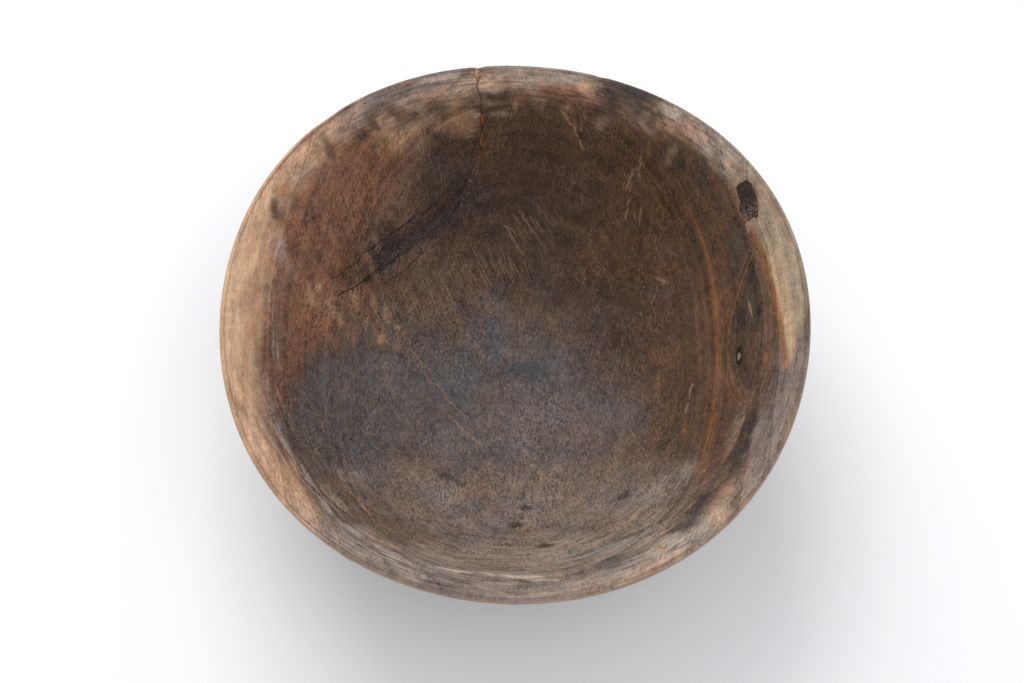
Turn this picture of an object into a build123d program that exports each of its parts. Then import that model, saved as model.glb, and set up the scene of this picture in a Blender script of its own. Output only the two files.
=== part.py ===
from build123d import *

import os
from math import atan, cos, radians, sin

# A deep serving bowl carved from half of a log, with the knots, splinters and gum fillings
# that sit in its wall. Millimetres, +Z up, origin at the centre of the flat foot.
# The grain of the log runs along Y; the sides towards +X and -X are the sapwood sides.

# --- Bowl body ---------------------------------------------------------------------------
RIM_DIAMETER = 400.0        # mean width across the lip, outside
HEIGHT = 142.0              # foot to the top of the lip
FOOT_DIAMETER = 150.0       # flat ring that the bowl stands on
BASE_THICKNESS = 20.0       # wood under the lowest point of the inside
WALL_THICKNESS = 16.0       # square to the wall, at its belly
LIP_EDGE = 3.0              # flat top of the lip
LIP_BEVEL_WIDTH = 24.0      # the slope from the lip's edge towards the inside
LIP_BEVEL_DROP = 10.0       # how far that slope falls
LIP_EDGE_ROUND = 1.0        # worn edges of the lip
LIP_RIDGE_ROUND = 8.0       # soft change from the lip's slope to the wall
FLOOR_FULLNESS = 3.4        # exponent of the inside curve: higher is a flatter floor
BELLY_SHARE = 0.84          # where along the inner radius the wall thickness is set

# Hand-carved outline: the radius swells by these amounts, at these angles from +X.
OVAL_SWELL, OVAL_ANGLE = 1.3, 99.0
THREE_LOBE_SWELL, THREE_LOBE_ANGLE = 1.4, 25.0
FOUR_LOBE_SWELL, FOUR_LOBE_ANGLE = 1.6, 39.0
OUTLINE_POINTS = 24         # points round each cross-section

# --- Pieces let into the wall --------------------------------------------------------------
# Each has an angle round the bowl from +X, an inset from the rim measured flat, a length
# along the grain, a width across it and a depth into the wood.
SEAT_CLEARANCE = 0.15       # gap all round a piece in its seat; it rests on the seat's floor
CUT_ABOVE = 9.0             # how far a seat's cutter starts above the wall's surface
BRANCH_TAPER = 0.06         # a knot narrows by this share of the way into the wood

DEAD_KNOT = dict(angle=29.0, inset=16.0, length=31.0, width=14.0, depth=9.0)
DEAD_KNOT_CORNER = 5.5      # rounded corners of the knot's outline
KNOT_WEDGE = dict(angle=23.6, inset=24.9, length=10.5, width=5.0, depth=5.0)
KNOT_WEDGE_TURN = 160.0     # its point is turned down and to the right
PIN_KNOT = dict(angle=-5.5, inset=44.8, length=7.0, width=4.0, depth=9.0)
PIN_BARK = dict(angle=-5.5, inset=44.8, length=15.0, width=7.5, depth=7.0)
HEART_SLIVER = dict(angle=7.9, inset=36.6, length=13.0, width=2.2, depth=4.0)
RIM_KNOT = dict(angle=-60.0, inset=12.5, length=6.5, width=6.0, depth=8.0)

# Pairs where the second piece's seat is cut through the first piece too.
SEATED_THROUGH = (("knot_wedge", "dead_knot"), ("pin_bark", "pin_knot"))

CRACK_ANGLE = 98.0          # where the drying crack opens the lip
CRACK_WIDTH = 1.0
CRACK_DEPTH = 7.0
CRACK_OPEN_INSET = 18.0     # middle of the crack's open stretch across the lip
CRACK_OPEN_LENGTH = 22.0
RIM_SLIVER_WIDTH = 3.6
RIM_SLIVER_LENGTH = 8.0     # inwards from the lip's outer edge
RIM_SLIVER_DEPTH = 11.0
FILL_UPPER = dict(angle=98.0, inset=32.6, length=10.0, width=1.8, depth=4.0)
FILL_MIDDLE = dict(angle=98.5, inset=40.6, length=9.5, width=1.6, depth=4.0)
FILL_LOWER = dict(angle=104.6, inset=56.0, length=46.0, width=1.3, depth=3.0)
FILL_LOWER_TURN = -19.0     # the crack leans to the left as it goes down

SHORT_CHECK = dict(angle=72.0, inset=4.5, length=11.0, width=1.0, depth=5.0)

RIM_RADIUS = RIM_DIAMETER / 2
FOOT_RADIUS = FOOT_DIAMETER / 2
RIDGE_RADIUS = RIM_RADIUS - LIP_EDGE - LIP_BEVEL_WIDTH
RIDGE_HEIGHT = HEIGHT - LIP_BEVEL_DROP
INSIDE_DEPTH = RIDGE_HEIGHT - BASE_THICKNESS


def outline_swell(angle):
    """How far the outline stands out from its mean circle at an angle in degrees."""
    return (
        OVAL_SWELL * cos(radians(2 * (angle - OVAL_ANGLE)))
        + THREE_LOBE_SWELL * cos(radians(3 * (angle - THREE_LOBE_ANGLE)))
        + FOUR_LOBE_SWELL * cos(radians(4 * (angle - FOUR_LOBE_ANGLE)))
    )


def outline_point(mean_radius, angle, height):
    """A point on the hand-carved outline; the swell fades in step with the radius."""
    radius = mean_radius * (1 + outline_swell(angle) / RIM_RADIUS)
    return Vector(radius * cos(radians(angle)), radius * sin(radians(angle)), height)


def cross_section(mean_radius, height):
    """One level slice of the bowl as a face with a smooth closed edge."""
    step = 360.0 / OUTLINE_POINTS
    points = [outline_point(mean_radius, step * i, height) for i in range(OUTLINE_POINTS)]
    return Face(Wire(Spline(*points, periodic=True)))


def inside_height(radius):
    """Height of the inner wall at a mean radius: a power curve from the floor's centre."""
    return BASE_THICKNESS + INSIDE_DEPTH * (radius / RIDGE_RADIUS) ** FLOOR_FULLNESS


def inside_slope(radius):
    """Angle of the inner wall from level, in radians."""
    steepest = FLOOR_FULLNESS * INSIDE_DEPTH / RIDGE_RADIUS
    return atan(steepest * (radius / RIDGE_RADIUS) ** (FLOOR_FULLNESS - 1))


def outside_blend():
    """Straight share of the outer curve that gives the belly its wall thickness."""
    belly_radius = BELLY_SHARE * RIDGE_RADIUS
    slope = inside_slope(belly_radius)
    out = belly_radius + WALL_THICKNESS * sin(slope)
    down = inside_height(belly_radius) - WALL_THICKNESS * cos(slope)
    u = (out - FOOT_RADIUS) / (RIM_RADIUS - FOOT_RADIUS)
    return (down / HEIGHT - u * u) / (u - u * u)


def outer_form():
    """The solid outside shape: foot to lip, a blend of a straight line and a parabola."""
    blend = outside_blend()
    slices = []
    steps = 6
    for i in range(steps + 1):
        u = i / steps
        radius = FOOT_RADIUS + (RIM_RADIUS - FOOT_RADIUS) * u
        slices.append(cross_section(radius, HEIGHT * (blend * u + (1 - blend) * u * u)))
    return loft(slices)


def hollow_form():
    """The inside of the bowl, from the lip's ridge down to a single lowest point."""
    shares = (1.0, 0.93, 0.85, 0.76, 0.65, 0.52, 0.38, 0.24, 0.11)
    slices = [cross_section(RIDGE_RADIUS * s, inside_height(RIDGE_RADIUS * s)) for s in shares]
    return loft([*slices, Vertex(0, 0, BASE_THICKNESS)])


def lip_form():
    """The shallow cone above the hollow, whose side is the lip's inward slope."""
    return loft(
        [cross_section(RIDGE_RADIUS, RIDGE_HEIGHT), cross_section(RIM_RADIUS - LIP_EDGE, HEIGHT)],
        ruled=True,
    )


def edges_at(solid, height):
    """The closed edges that lie level at a height."""
    return solid.edges().filter_by_position(Axis.Z, height - 0.01, height + 0.01)


def carved_body():
    """Outside less inside, with its lip worn round."""
    body = outer_form() - hollow_form() - lip_form()
    body = fillet(edges_at(body, RIDGE_HEIGHT), LIP_RIDGE_ROUND)
    return fillet(edges_at(body, HEIGHT), LIP_EDGE_ROUND)


def seat(angle, inset, turn=0.0):
    """A plane on the inner surface: X along the grain, then turned, and Z into the wood."""
    radius = RIM_RADIUS - inset
    if radius < RIDGE_RADIUS:
        height, slope = inside_height(radius), inside_slope(radius)
    else:
        fall = min((RIM_RADIUS - LIP_EDGE - radius) / LIP_BEVEL_WIDTH, 1.0)
        height = HEIGHT - LIP_BEVEL_DROP * max(fall, 0.0)
        slope = atan(LIP_BEVEL_DROP / LIP_BEVEL_WIDTH)
    phi = radians(angle)
    into = Vector(sin(slope) * cos(phi), sin(slope) * sin(phi), -cos(slope))
    grain = Vector(0, 1, 0) - into * into.Y
    plane = Plane(origin=outline_point(radius, angle, height), x_dir=grain, z_dir=into)
    return plane.rotated((0, 0, turn))


def plug(plane, sketch, depth):
    """A straight block from above the surface to a depth in the wood."""
    return extrude(plane.offset(-CUT_ABOVE) * sketch, amount=CUT_ABOVE + depth)


def branch(plane, shape, length, width, depth, ease):
    """A knot's body: its outline at the surface, wider above it and narrower at its foot."""
    wider, narrower = 2 * BRANCH_TAPER * CUT_ABOVE, 2 * BRANCH_TAPER * depth
    top = plane.offset(-CUT_ABOVE) * shape(length + wider, width + wider, ease)
    foot = plane.offset(depth) * shape(length - narrower, width - narrower, ease)
    return loft([top, foot], ruled=True)


def oval(length, width, ease):
    """A knot's oval, smaller by a clearance."""
    return Ellipse(length / 2 - ease, width / 2 - ease)


def knot_outline(length, width, ease):
    """The big knot's rounded rectangle, smaller by a clearance."""
    return RectangleRounded(length - 2 * ease, width - 2 * ease, DEAD_KNOT_CORNER - ease)


def dart(length, width, ease):
    """A pointed wedge's outline, blunt end at -X and its point at +X."""
    shape = Polygon((-length / 2, -width / 2), (length / 2, 0), (-length / 2, width / 2), align=None)
    return offset(shape, -ease, kind=Kind.INTERSECTION) if ease else shape


def splinter(length, width, ease):
    """A splinter's outline: two arcs that meet in a point at each end."""
    reach, bulge = length / 2 - 3 * ease, width / 2 - ease
    upper = ThreePointArc((-reach, 0), (0, bulge), (reach, 0))
    lower = ThreePointArc((reach, 0), (0, -bulge), (-reach, 0))
    return make_face(upper + lower)


def strip(length, width, ease):
    """A straight filled stretch of crack."""
    return Rectangle(length - 2 * ease, width - 2 * ease)


def blocks(place, shape, turn=0.0, knot=False):
    """The block that cuts a seat, and the block, smaller by the clearance, that sits in it."""
    plane = seat(place["angle"], place["inset"], turn)
    length, width, depth = place["length"], place["width"], place["depth"]
    if knot:
        return tuple(branch(plane, shape, length, width, depth, e) for e in (0.0, SEAT_CLEARANCE))
    return tuple(plug(plane, shape(length, width, e), depth) for e in (0.0, SEAT_CLEARANCE))


def rim_plane():
    """A level plane on the lip where the crack opens it: X outwards, Z up."""
    phi = radians(CRACK_ANGLE)
    outward = Vector(cos(phi), sin(phi), 0)
    return Plane(origin=outline_point(RIM_RADIUS, CRACK_ANGLE, HEIGHT), x_dir=outward, z_dir=(0, 0, 1))


def rim_block(width, length):
    """A block that takes the crack's mouth out of the lip, from its edge inwards."""
    reach = length + CUT_ABOVE
    middle = (CUT_ABOVE - length) / 2
    height = RIM_SLIVER_DEPTH + CUT_ABOVE
    block = Box(reach, width, height)
    return rim_plane() * Pos(middle, 0, (CUT_ABOVE - RIM_SLIVER_DEPTH) / 2) * block


def build():
    """Every piece of the bowl by name."""
    blank = carved_body()
    body = blank
    pieces = {}

    inserts = (
        ("knot_wedge", blocks(KNOT_WEDGE, dart, turn=KNOT_WEDGE_TURN)),
        ("dead_knot", blocks(DEAD_KNOT, knot_outline, knot=True)),
        ("heart_sliver", blocks(HEART_SLIVER, splinter)),
        ("rim_knot", blocks(RIM_KNOT, oval, knot=True)),
        ("crack_fill_upper", blocks(FILL_UPPER, strip)),
        ("crack_fill_middle", blocks(FILL_MIDDLE, strip)),
        ("crack_fill_lower", blocks(FILL_LOWER, strip, turn=FILL_LOWER_TURN)),
        ("pin_bark", blocks(PIN_BARK, oval, knot=True)),
        ("pin_knot", blocks(PIN_KNOT, oval, knot=True)),
    )
    for name, (cutter, block) in inserts:
        body -= cutter
        pieces[name] = blank & block
        # A later piece's seat also passes through the piece that it stands beside or in.
        for behind, in_front in SEATED_THROUGH:
            if name == in_front:
                pieces[behind] -= cutter

    # The crack: its mouth with a splinter wedged in it, and the open stretch below.
    body -= rim_block(RIM_SLIVER_WIDTH, RIM_SLIVER_LENGTH)
    sliver = rim_block(RIM_SLIVER_WIDTH - 2 * SEAT_CLEARANCE, RIM_SLIVER_LENGTH - SEAT_CLEARANCE)
    pieces["rim_sliver"] = blank & sliver
    open_seat = seat(CRACK_ANGLE, CRACK_OPEN_INSET)
    body -= plug(open_seat, splinter(CRACK_OPEN_LENGTH, CRACK_WIDTH, 0.0), CRACK_DEPTH)

    # A short check beside it, cut only.
    short_seat = seat(SHORT_CHECK["angle"], SHORT_CHECK["inset"])
    short_size = SHORT_CHECK["length"], SHORT_CHECK["width"]
    body -= plug(short_seat, splinter(*short_size, 0.0), SHORT_CHECK["depth"])

    pieces["bowl_shell"] = body
    return pieces


os.makedirs("parts", exist_ok=True)
for name, shape in build().items():
    solids = shape.solids()
    for solid in solids:
        print(f"{name}: {solid.volume:.1f} mm3, valid {solid.is_valid}")
    export_step(solids[0] if len(solids) == 1 else Compound(solids), f"parts/{name}.step")
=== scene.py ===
"""A carved wooden bowl: its worn surface, knots, drying crack and gum fillings.

Lengths are in metres unless a name says mm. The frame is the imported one: +Z up out of the
bowl's mouth, the origin at the centre of the flat foot, the grain of the log along Y.
Angles go round the bowl in degrees from +X towards +Y.
"""

from __future__ import annotations

import logging
import math
from dataclasses import dataclass, field
from enum import Enum

import bpy
import numpy as np
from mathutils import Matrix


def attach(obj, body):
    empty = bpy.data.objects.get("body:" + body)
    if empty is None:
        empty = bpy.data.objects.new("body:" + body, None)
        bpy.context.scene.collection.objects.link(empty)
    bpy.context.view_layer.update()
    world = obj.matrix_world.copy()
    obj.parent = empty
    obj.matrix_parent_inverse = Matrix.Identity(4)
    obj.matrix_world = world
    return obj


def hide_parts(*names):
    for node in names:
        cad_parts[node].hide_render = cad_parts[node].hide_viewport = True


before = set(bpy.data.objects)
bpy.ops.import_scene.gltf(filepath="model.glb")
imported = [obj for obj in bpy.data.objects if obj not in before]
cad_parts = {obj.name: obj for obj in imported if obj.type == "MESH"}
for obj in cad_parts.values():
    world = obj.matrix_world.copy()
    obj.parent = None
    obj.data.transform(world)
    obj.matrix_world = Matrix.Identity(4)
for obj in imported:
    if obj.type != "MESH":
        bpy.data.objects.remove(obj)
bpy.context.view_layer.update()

LOG = logging.getLogger("bowl")
MM = 0.001
ROOT = "root"
Array = np.ndarray


# --------------------------------------------------------------------------- tones of wood


class Tone(Enum):
    """Named colours of the bowl's wood, some with painted light in them, as display values from 0 to
    255.
    """

    HEART = (84, 66, 54)
    UMBER = (62, 48, 40)
    WARM_UMBER = (78, 54, 36)
    BLACKENED = (42, 37, 35)
    # Slate greys: the floor's grey wood with the sky's reflection painted in.
    SLATE_SKY_SHEEN = (80, 73, 71)
    COLD_SKY_SHEEN = (70, 69, 72)
    ASH = (106, 93, 86)
    MAUVE = (94, 81, 76)
    DRIFTWOOD = (122, 108, 98)
    TAUPE = (132, 117, 104)
    RUSSET = (110, 77, 60)
    REDWOOD = (126, 88, 68)
    CHESTNUT = (92, 64, 46)
    HONEY = (146, 98, 56)
    AMBER = (130, 88, 54)
    TAN = (166, 130, 102)
    PALE_TAN = (194, 160, 130)
    CREAM = (176, 150, 120)
    BONE = (182, 168, 152)
    EDGE = (178, 148, 122)
    ROSE_GREY = (158, 138, 122)
    # Painted highlight tones: the lilac sheen, and the pale glints on the lip.
    LILAC_SHEEN = (146, 128, 122)
    GLINT_PALE = (172, 156, 149)

    @property
    def linear(self) -> Array:
        """The tone in linear light."""
        return linear_light(self.value)


def linear_light(display: tuple[float, float, float]) -> Array:
    """Turns display values into linear light.

    Args:
        display: red, green and blue from 0 to 255.
    Returns:
        The three values in linear light: the share raised by the usual display curve.
    """
    share = np.array(display, float) / 255.0
    return np.where(share <= 0.04045, share / 12.92, ((share + 0.055) / 1.055) ** 2.4)


# ------------------------------------------------------------------------- shape of space


def ease(value: Array, low: float, high: float) -> Array:
    """Smooth step: 0 below low, 1 above high, and 3t^2 - 2t^3 between them."""
    t = np.clip((value - low) / (high - low), 0.0, 1.0)
    return t * t * (3.0 - 2.0 * t)


def hump(distance: Array, reach: float) -> Array:
    """A bell curve: e to the minus the square of distance over reach."""
    return np.exp(-((distance / reach) ** 2))


def turn_between(angle: Array, centre: float) -> Array:
    """The smallest turn from centre to each angle, in degrees from -180 to 180."""
    return (angle - centre + 180.0) % 360.0 - 180.0


@dataclass(frozen=True)
class SolidNoise:
    """Smooth random values through space, from a seeded lattice that repeats."""

    seed: int
    side: int = 32

    def at(self, points: Array, size: float) -> Array:
        """Values from 0 to 1 at points.

        The eight lattice values round each point are blended along X, Y and Z with the
        weights 3t^2 - 2t^3.

        Args:
            points: an array whose last axis holds X, Y and Z.
            size: the length of one lattice cell.
        Returns:
            One value for each point.
        """
        lattice = np.random.default_rng(self.seed).random((self.side,) * 3)
        place = points / size
        cell = np.floor(place).astype(int)
        t = place - cell
        t = t * t * (3.0 - 2.0 * t)
        total = np.zeros(points.shape[:-1])
        for corner in np.ndindex(2, 2, 2):
            weight = np.prod(np.where(np.array(corner) == 1, t, 1.0 - t), axis=-1)
            x, y, z = np.moveaxis((cell + corner) % self.side, -1, 0)
            total += weight * lattice[x, y, z]
        return total

    def layered(self, points: Array, size: float, layers: int = 3) -> Array:
        """The sum of ever finer noise, each layer half the size and half the strength."""
        shares = 0.5 ** np.arange(layers)
        parts = [s * self.at(points + 7.3 * s, size * s) for s in shares]
        return sum(parts) / shares.sum()


def facets(along: Array, across: Array, size: float, seed: int) -> Array:
    """Hollow tool cuts: each cut is a shallow dish, and the dishes meet in low ridges.

    The value is the square of the distance to the nearest cut's centre. The centres are a
    square grid of points, each moved at random inside its cell.

    Args:
        along: first surface coordinate.
        across: second surface coordinate.
        size: the spacing of the cuts.
        seed: the seed of the random moves.
    Returns:
        0 at a cut's centre, and about 0.5 where three cuts meet.
    """
    count = 64
    moves = np.random.default_rng(seed).random((count, count, 2))
    u, v = along / size, across / size
    cell_u, cell_v = np.floor(u).astype(int), np.floor(v).astype(int)
    nearest = np.full(u.shape, 9.0)
    for du, dv in np.ndindex(3, 3):
        cu, cv = cell_u + du - 1, cell_v + dv - 1
        move = moves[cu % count, cv % count]
        apart = (cu + move[..., 0] - u) ** 2 + (cv + move[..., 1] - v) ** 2
        nearest = np.minimum(nearest, apart)
    return nearest


# ------------------------------------------------------------------------------- the form


@dataclass(frozen=True)
class Outline:
    """The hand-carved outline: how far the radius swells, and at which angles."""

    oval: float = 1.3 * MM
    oval_angle: float = 99.0
    three_lobe: float = 1.4 * MM
    three_lobe_angle: float = 25.0
    four_lobe: float = 1.6 * MM
    four_lobe_angle: float = 39.0

    def swell(self, angle: Array) -> Array:
        """Sum of three cosines, of twice, three times and four times the angle."""
        turns = np.radians(angle)
        terms = (
            (2, self.oval, self.oval_angle),
            (3, self.three_lobe, self.three_lobe_angle),
            (4, self.four_lobe, self.four_lobe_angle),
        )
        return sum(a * np.cos(n * (turns - math.radians(at))) for n, a, at in terms)


@dataclass(frozen=True)
class Carving:
    """Sizes of the carved body and the formulas of its inner and outer surface."""

    rim_radius: float = 200 * MM
    foot_radius: float = 75 * MM
    height: float = 142 * MM
    base: float = 20 * MM
    wall: float = 16 * MM
    lip_edge: float = 3 * MM
    bevel_width: float = 24 * MM
    bevel_drop: float = 10 * MM
    fullness: float = 3.4
    roundness: float = 3.1
    ridge_out: float = 3 * MM
    ridge_out_near: float = 7 * MM
    belly_share: float = 0.84
    outline: Outline = field(default_factory=Outline)

    @property
    def ridge_radius(self) -> float:
        """Where the lip's slope meets the wall."""
        return self.rim_radius - self.lip_edge - self.bevel_width

    @property
    def depth(self) -> float:
        """Height of the wall's curve from the floor to the ridge."""
        return self.height - self.bevel_drop - self.base

    def wall_height(self, radius: Array) -> Array:
        """Base plus depth times the radius share raised to the fullness."""
        return self.base + self.depth * (radius / self.ridge_radius) ** self.fullness

    def bevel_height(self, radius: Array) -> Array:
        """The straight slope of the lip, carried on in both directions."""
        rise = self.bevel_drop / self.bevel_width
        return self.height - self.bevel_drop + rise * (radius - self.ridge_radius)

    def worn_ridge(self, angle: Array) -> Array:
        """Radius of the worn ridge: a little outside its first place, most on the near side."""
        near = hump(turn_between(angle, 238.0), 50.0)
        return self.ridge_radius + self.ridge_out + self.ridge_out_near * near

    def inner_height(self, radius: Array, angle: Array, softness: Array) -> Array:
        """The lower of wall and lip slope, rounded together over a height of softness.

        The worn wall rises to the worn ridge by the radius share raised to the roundness.
        With h the blend share, the height is the mix of both less softness h (1 - h).
        """
        ridge = self.worn_ridge(angle)
        rise = self.bevel_height(ridge) - self.base
        wall = self.base + rise * (radius / ridge) ** self.roundness
        bevel = self.bevel_height(radius)
        h = np.clip(0.5 + 0.5 * (bevel - wall) / softness, 0.0, 1.0)
        return bevel + (wall - bevel) * h - softness * h * (1.0 - h)

    def outside_blend(self) -> float:
        """Straight share of the outer curve that leaves the belly its wall thickness."""
        belly = self.belly_share * self.ridge_radius
        rise = self.fullness * self.depth / self.ridge_radius
        slope = math.atan(rise * self.belly_share ** (self.fullness - 1))
        out = belly + self.wall * math.sin(slope)
        down = float(self.wall_height(belly)) - self.wall * math.cos(slope)
        u = (out - self.foot_radius) / (self.rim_radius - self.foot_radius)
        return (down / self.height - u * u) / (u - u * u)

    def outer_height(self, share: Array) -> Array:
        """Height on the outside at a share of the way from foot to rim."""
        blend = self.outside_blend()
        return self.height * (blend * share + (1.0 - blend) * share**2)

    def placed(self, radius: Array, angle: Array, height: Array) -> Array:
        """Points on the outline at mean radii; the swell fades in step with the radius."""
        true_radius = radius * (1.0 + self.outline.swell(angle) / self.rim_radius)
        turns = np.radians(angle)
        x, y = true_radius * np.cos(turns), true_radius * np.sin(turns)
        return np.stack(np.broadcast_arrays(x, y, height), axis=-1)

    def mean_place(self, x: Array, y: Array) -> tuple[Array, Array]:
        """Mean radius and angle of a point seen from above: the inverse of placed."""
        angle = np.degrees(np.arctan2(y, x))
        swell = 1.0 + self.outline.swell(angle) / self.rim_radius
        return np.hypot(x, y) / swell, angle


@dataclass(frozen=True)
class CrackPath:
    """The drying crack from the lip down the far wall, seen from above, in mm."""

    points_mm: tuple[tuple[float, float], ...] = (
        (-25, 202),
        (-26, 187),
        (-27, 182),
        (-24, 177),
        (-23.5, 162),
        (-25, 151),
        (-29, 144),
        (-33, 139),
        (-38, 130),
    )

    def distance(self, x: Array, y: Array) -> Array:
        """Distance from each point, seen from above, to the nearest stretch of the path."""
        path = np.array(self.points_mm) * MM
        here = np.stack([x, y], axis=-1)
        nearest = np.full(np.shape(x), 9.0)
        for start, end in zip(path[:-1], path[1:]):
            run = end - start
            share = np.clip(((here - start) @ run) / (run @ run), 0.0, 1.0)
            away = here - start - share[..., None] * run
            nearest = np.minimum(nearest, np.hypot(away[..., 0], away[..., 1]))
        return nearest


SHORT_CHECK = CrackPath(((61, 202), (61, 184), (62, 175)))
CHECK_BRANCH = CrackPath(((61, 191), (53, 182)))
VALLEY = CrackPath(((-38, 131), (-46, 124), (-66, 110), (-81, 100), (-95, 87), (-109, 72)))
SIDE_CREASE = CrackPath(((-58, 108), (-76, 97), (-92, 83), (-106, 66)))


@dataclass(frozen=True)
class Pocket:
    """A shallow hollow in the wall, under a piece let into it."""

    origin: Array
    along: Array
    across: Array
    half_length: float
    half_width: float
    depth: float

    def sink(self, points: Array) -> Array:
        """How far the wall sinks: the depth inside an oval, and nothing outside it."""
        away = points - self.origin
        oval = np.hypot(away @ self.along / self.half_length, away @ self.across / self.half_width)
        near = np.linalg.norm(away, axis=-1) < 3 * self.half_length
        return self.depth * (1.0 - ease(oval, 0.8, 1.2)) * near


@dataclass(frozen=True)
class LipChip:
    """A small piece broken from the outer edge of the lip."""

    angle: float
    length: float
    depth: float


@dataclass(frozen=True)
class Relief:
    """What hand tools, use and drying did to the smooth form, as heights along the normal."""

    wander: float = 1.0 * MM
    wander_size: float = 75 * MM
    worn_cuts: float = 0.45 * MM
    worn_cut_size: float = 24 * MM
    crease_depth: float = 2.4 * MM
    crease_reach: float = 4 * MM
    shoulder: float = 1.6 * MM
    turning_marks: float = 0.28 * MM
    turning_size: float = 15 * MM
    crack_depth: float = 1.6 * MM
    crack_reach: float = 0.6 * MM
    outer_cuts: float = 1.5 * MM
    outer_cut_size: float = 26 * MM
    lip_wobble: float = 0.8 * MM
    crack: CrackPath = field(default_factory=CrackPath)
    chips: tuple[LipChip, ...] = (
        LipChip(-121.7, 6 * MM, 1.6 * MM),
        LipChip(-90.5, 4 * MM, 1.0 * MM),
        LipChip(-47.4, 5 * MM, 1.4 * MM),
        LipChip(131.0, 9 * MM, 1.2 * MM),
        LipChip(97.5, 3 * MM, 1.8 * MM),
        LipChip(72.0, 3 * MM, 1.2 * MM),
    )

    def crack_gap(self, x: Array, y: Array) -> Array:
        """How open the wood is: 1 along the crack, less along the short check."""
        check = np.minimum(SHORT_CHECK.distance(x, y), 1.3 * CHECK_BRANCH.distance(x, y))
        gap = hump(self.crack.distance(x, y), self.crack_reach)
        return np.maximum(gap, 0.7 * hump(check, self.crack_reach))

    def inside(self, points: Array, radius: Array, angle: Array) -> Array:
        """Height of the inner surface over its smooth form.

        The sum of a slow wander, worn tool cuts, waves that follow the rim, the crease under
        the upper left wall with the shoulder beside it, and the crack's groove.
        """
        slow = self.wander * (2.0 * SolidNoise(3).at(points, self.wander_size) - 1.0)
        cuts = facets(np.radians(angle) * 0.15, radius, self.worn_cut_size, 11)
        cuts = self.worn_cuts * (cuts - 0.2)
        bent = radius + 6 * MM * SolidNoise(13).at(points, 70 * MM)
        waves = np.cos(2 * np.pi * bent / self.turning_size)
        patch = SolidNoise(17).at(points, 60 * MM)
        waves = self.turning_marks * waves * patch * ease(radius, 60 * MM, 110 * MM)
        x, y = points[..., 0], points[..., 1]
        above = hump(VALLEY.distance(x + 9 * MM, y - 11 * MM), 10 * MM)
        fold = hump(VALLEY.distance(x, y), self.crease_reach)
        fold = fold + 0.5 * hump(SIDE_CREASE.distance(x, y), self.crease_reach * 0.7)
        fold = self.shoulder * above - self.crease_depth * fold
        fold = fold * ease(x, -118 * MM, -80 * MM)
        gap = self.crack_gap(x, y)
        centre_fade = ease(radius, 0.0, 30 * MM)
        return (slow + cuts + waves) * centre_fade + fold - self.crack_depth * gap

    def outside(self, points: Array, height: Array, angle: Array) -> Array:
        """Height of the outer surface over its smooth form: tool cuts, wander and crack."""
        slow = self.wander * (2.0 * SolidNoise(5).at(points, self.wander_size) - 1.0)
        cuts = facets(np.radians(angle) * 0.14, height * 0.8, self.outer_cut_size, 23)
        gap = self.crack_gap(points[..., 0], points[..., 1]) * ease(height, 0.112, 0.124)
        return slow + self.outer_cuts * (cuts - 0.25) - self.crack_depth * gap

    def lip(self, points: Array, angle: Array) -> Array:
        """How far the lip's edge sinks at its chips, and the wobble of its height."""
        wobble = self.lip_wobble * (SolidNoise(7).at(points, 60 * MM) - 0.7)
        reach = np.radians(1.0) * 0.2
        sunk = sum(
            chip.depth * hump(turn_between(angle, chip.angle) * reach, chip.length)
            for chip in self.chips
        )
        return wobble - sunk


# ------------------------------------------------------------------------ stains and wear


class Place(Enum):
    """How a stain's place is measured."""

    FLOOR = "x and y from above, in mm"
    LIP = "angle in degrees and inset from the rim, in mm"


@dataclass(frozen=True)
class Stain:
    """A soft patch of one tone."""

    tone: Tone
    at: tuple[float, float]
    reach: tuple[float, float]
    strength: float = 1.0
    turn: float = 0.0
    place: Place = Place.FLOOR
    soft: float = 0.5

    def cover(self, x: Array, y: Array, angle: Array, inset: Array) -> Array:
        """How much of each point the stain covers.

        Strength times a smooth step of the oval distance, which is 1 at the stain's reach.

        Args:
            x: across the bowl, in mm.
            y: along the bowl, in mm.
            angle: round the bowl, in degrees.
            inset: from the rim inwards, in mm.
        Returns:
            Shares from 0 to strength.
        """
        if self.place is Place.LIP:
            u, v = turn_between(angle, self.at[0]), inset - self.at[1]
        else:
            dx, dy = x - self.at[0], y - self.at[1]
            c, s = math.cos(math.radians(self.turn)), math.sin(math.radians(self.turn))
            u, v = dx * c + dy * s, dy * c - dx * s
        oval = np.hypot(u / self.reach[0], v / self.reach[1])
        return self.strength * (1.0 - ease(oval, 1.0 - self.soft, 1.0 + self.soft))


def lip_stain(tone: Tone, angle: float, half_turn: float, inset: float, reach: float,
              strength: float = 0.9, soft: float = 0.35) -> Stain:
    """A stain that follows the lip."""
    return Stain(tone, (angle, inset), (half_turn, reach), strength, 0.0, Place.LIP, soft)


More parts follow.
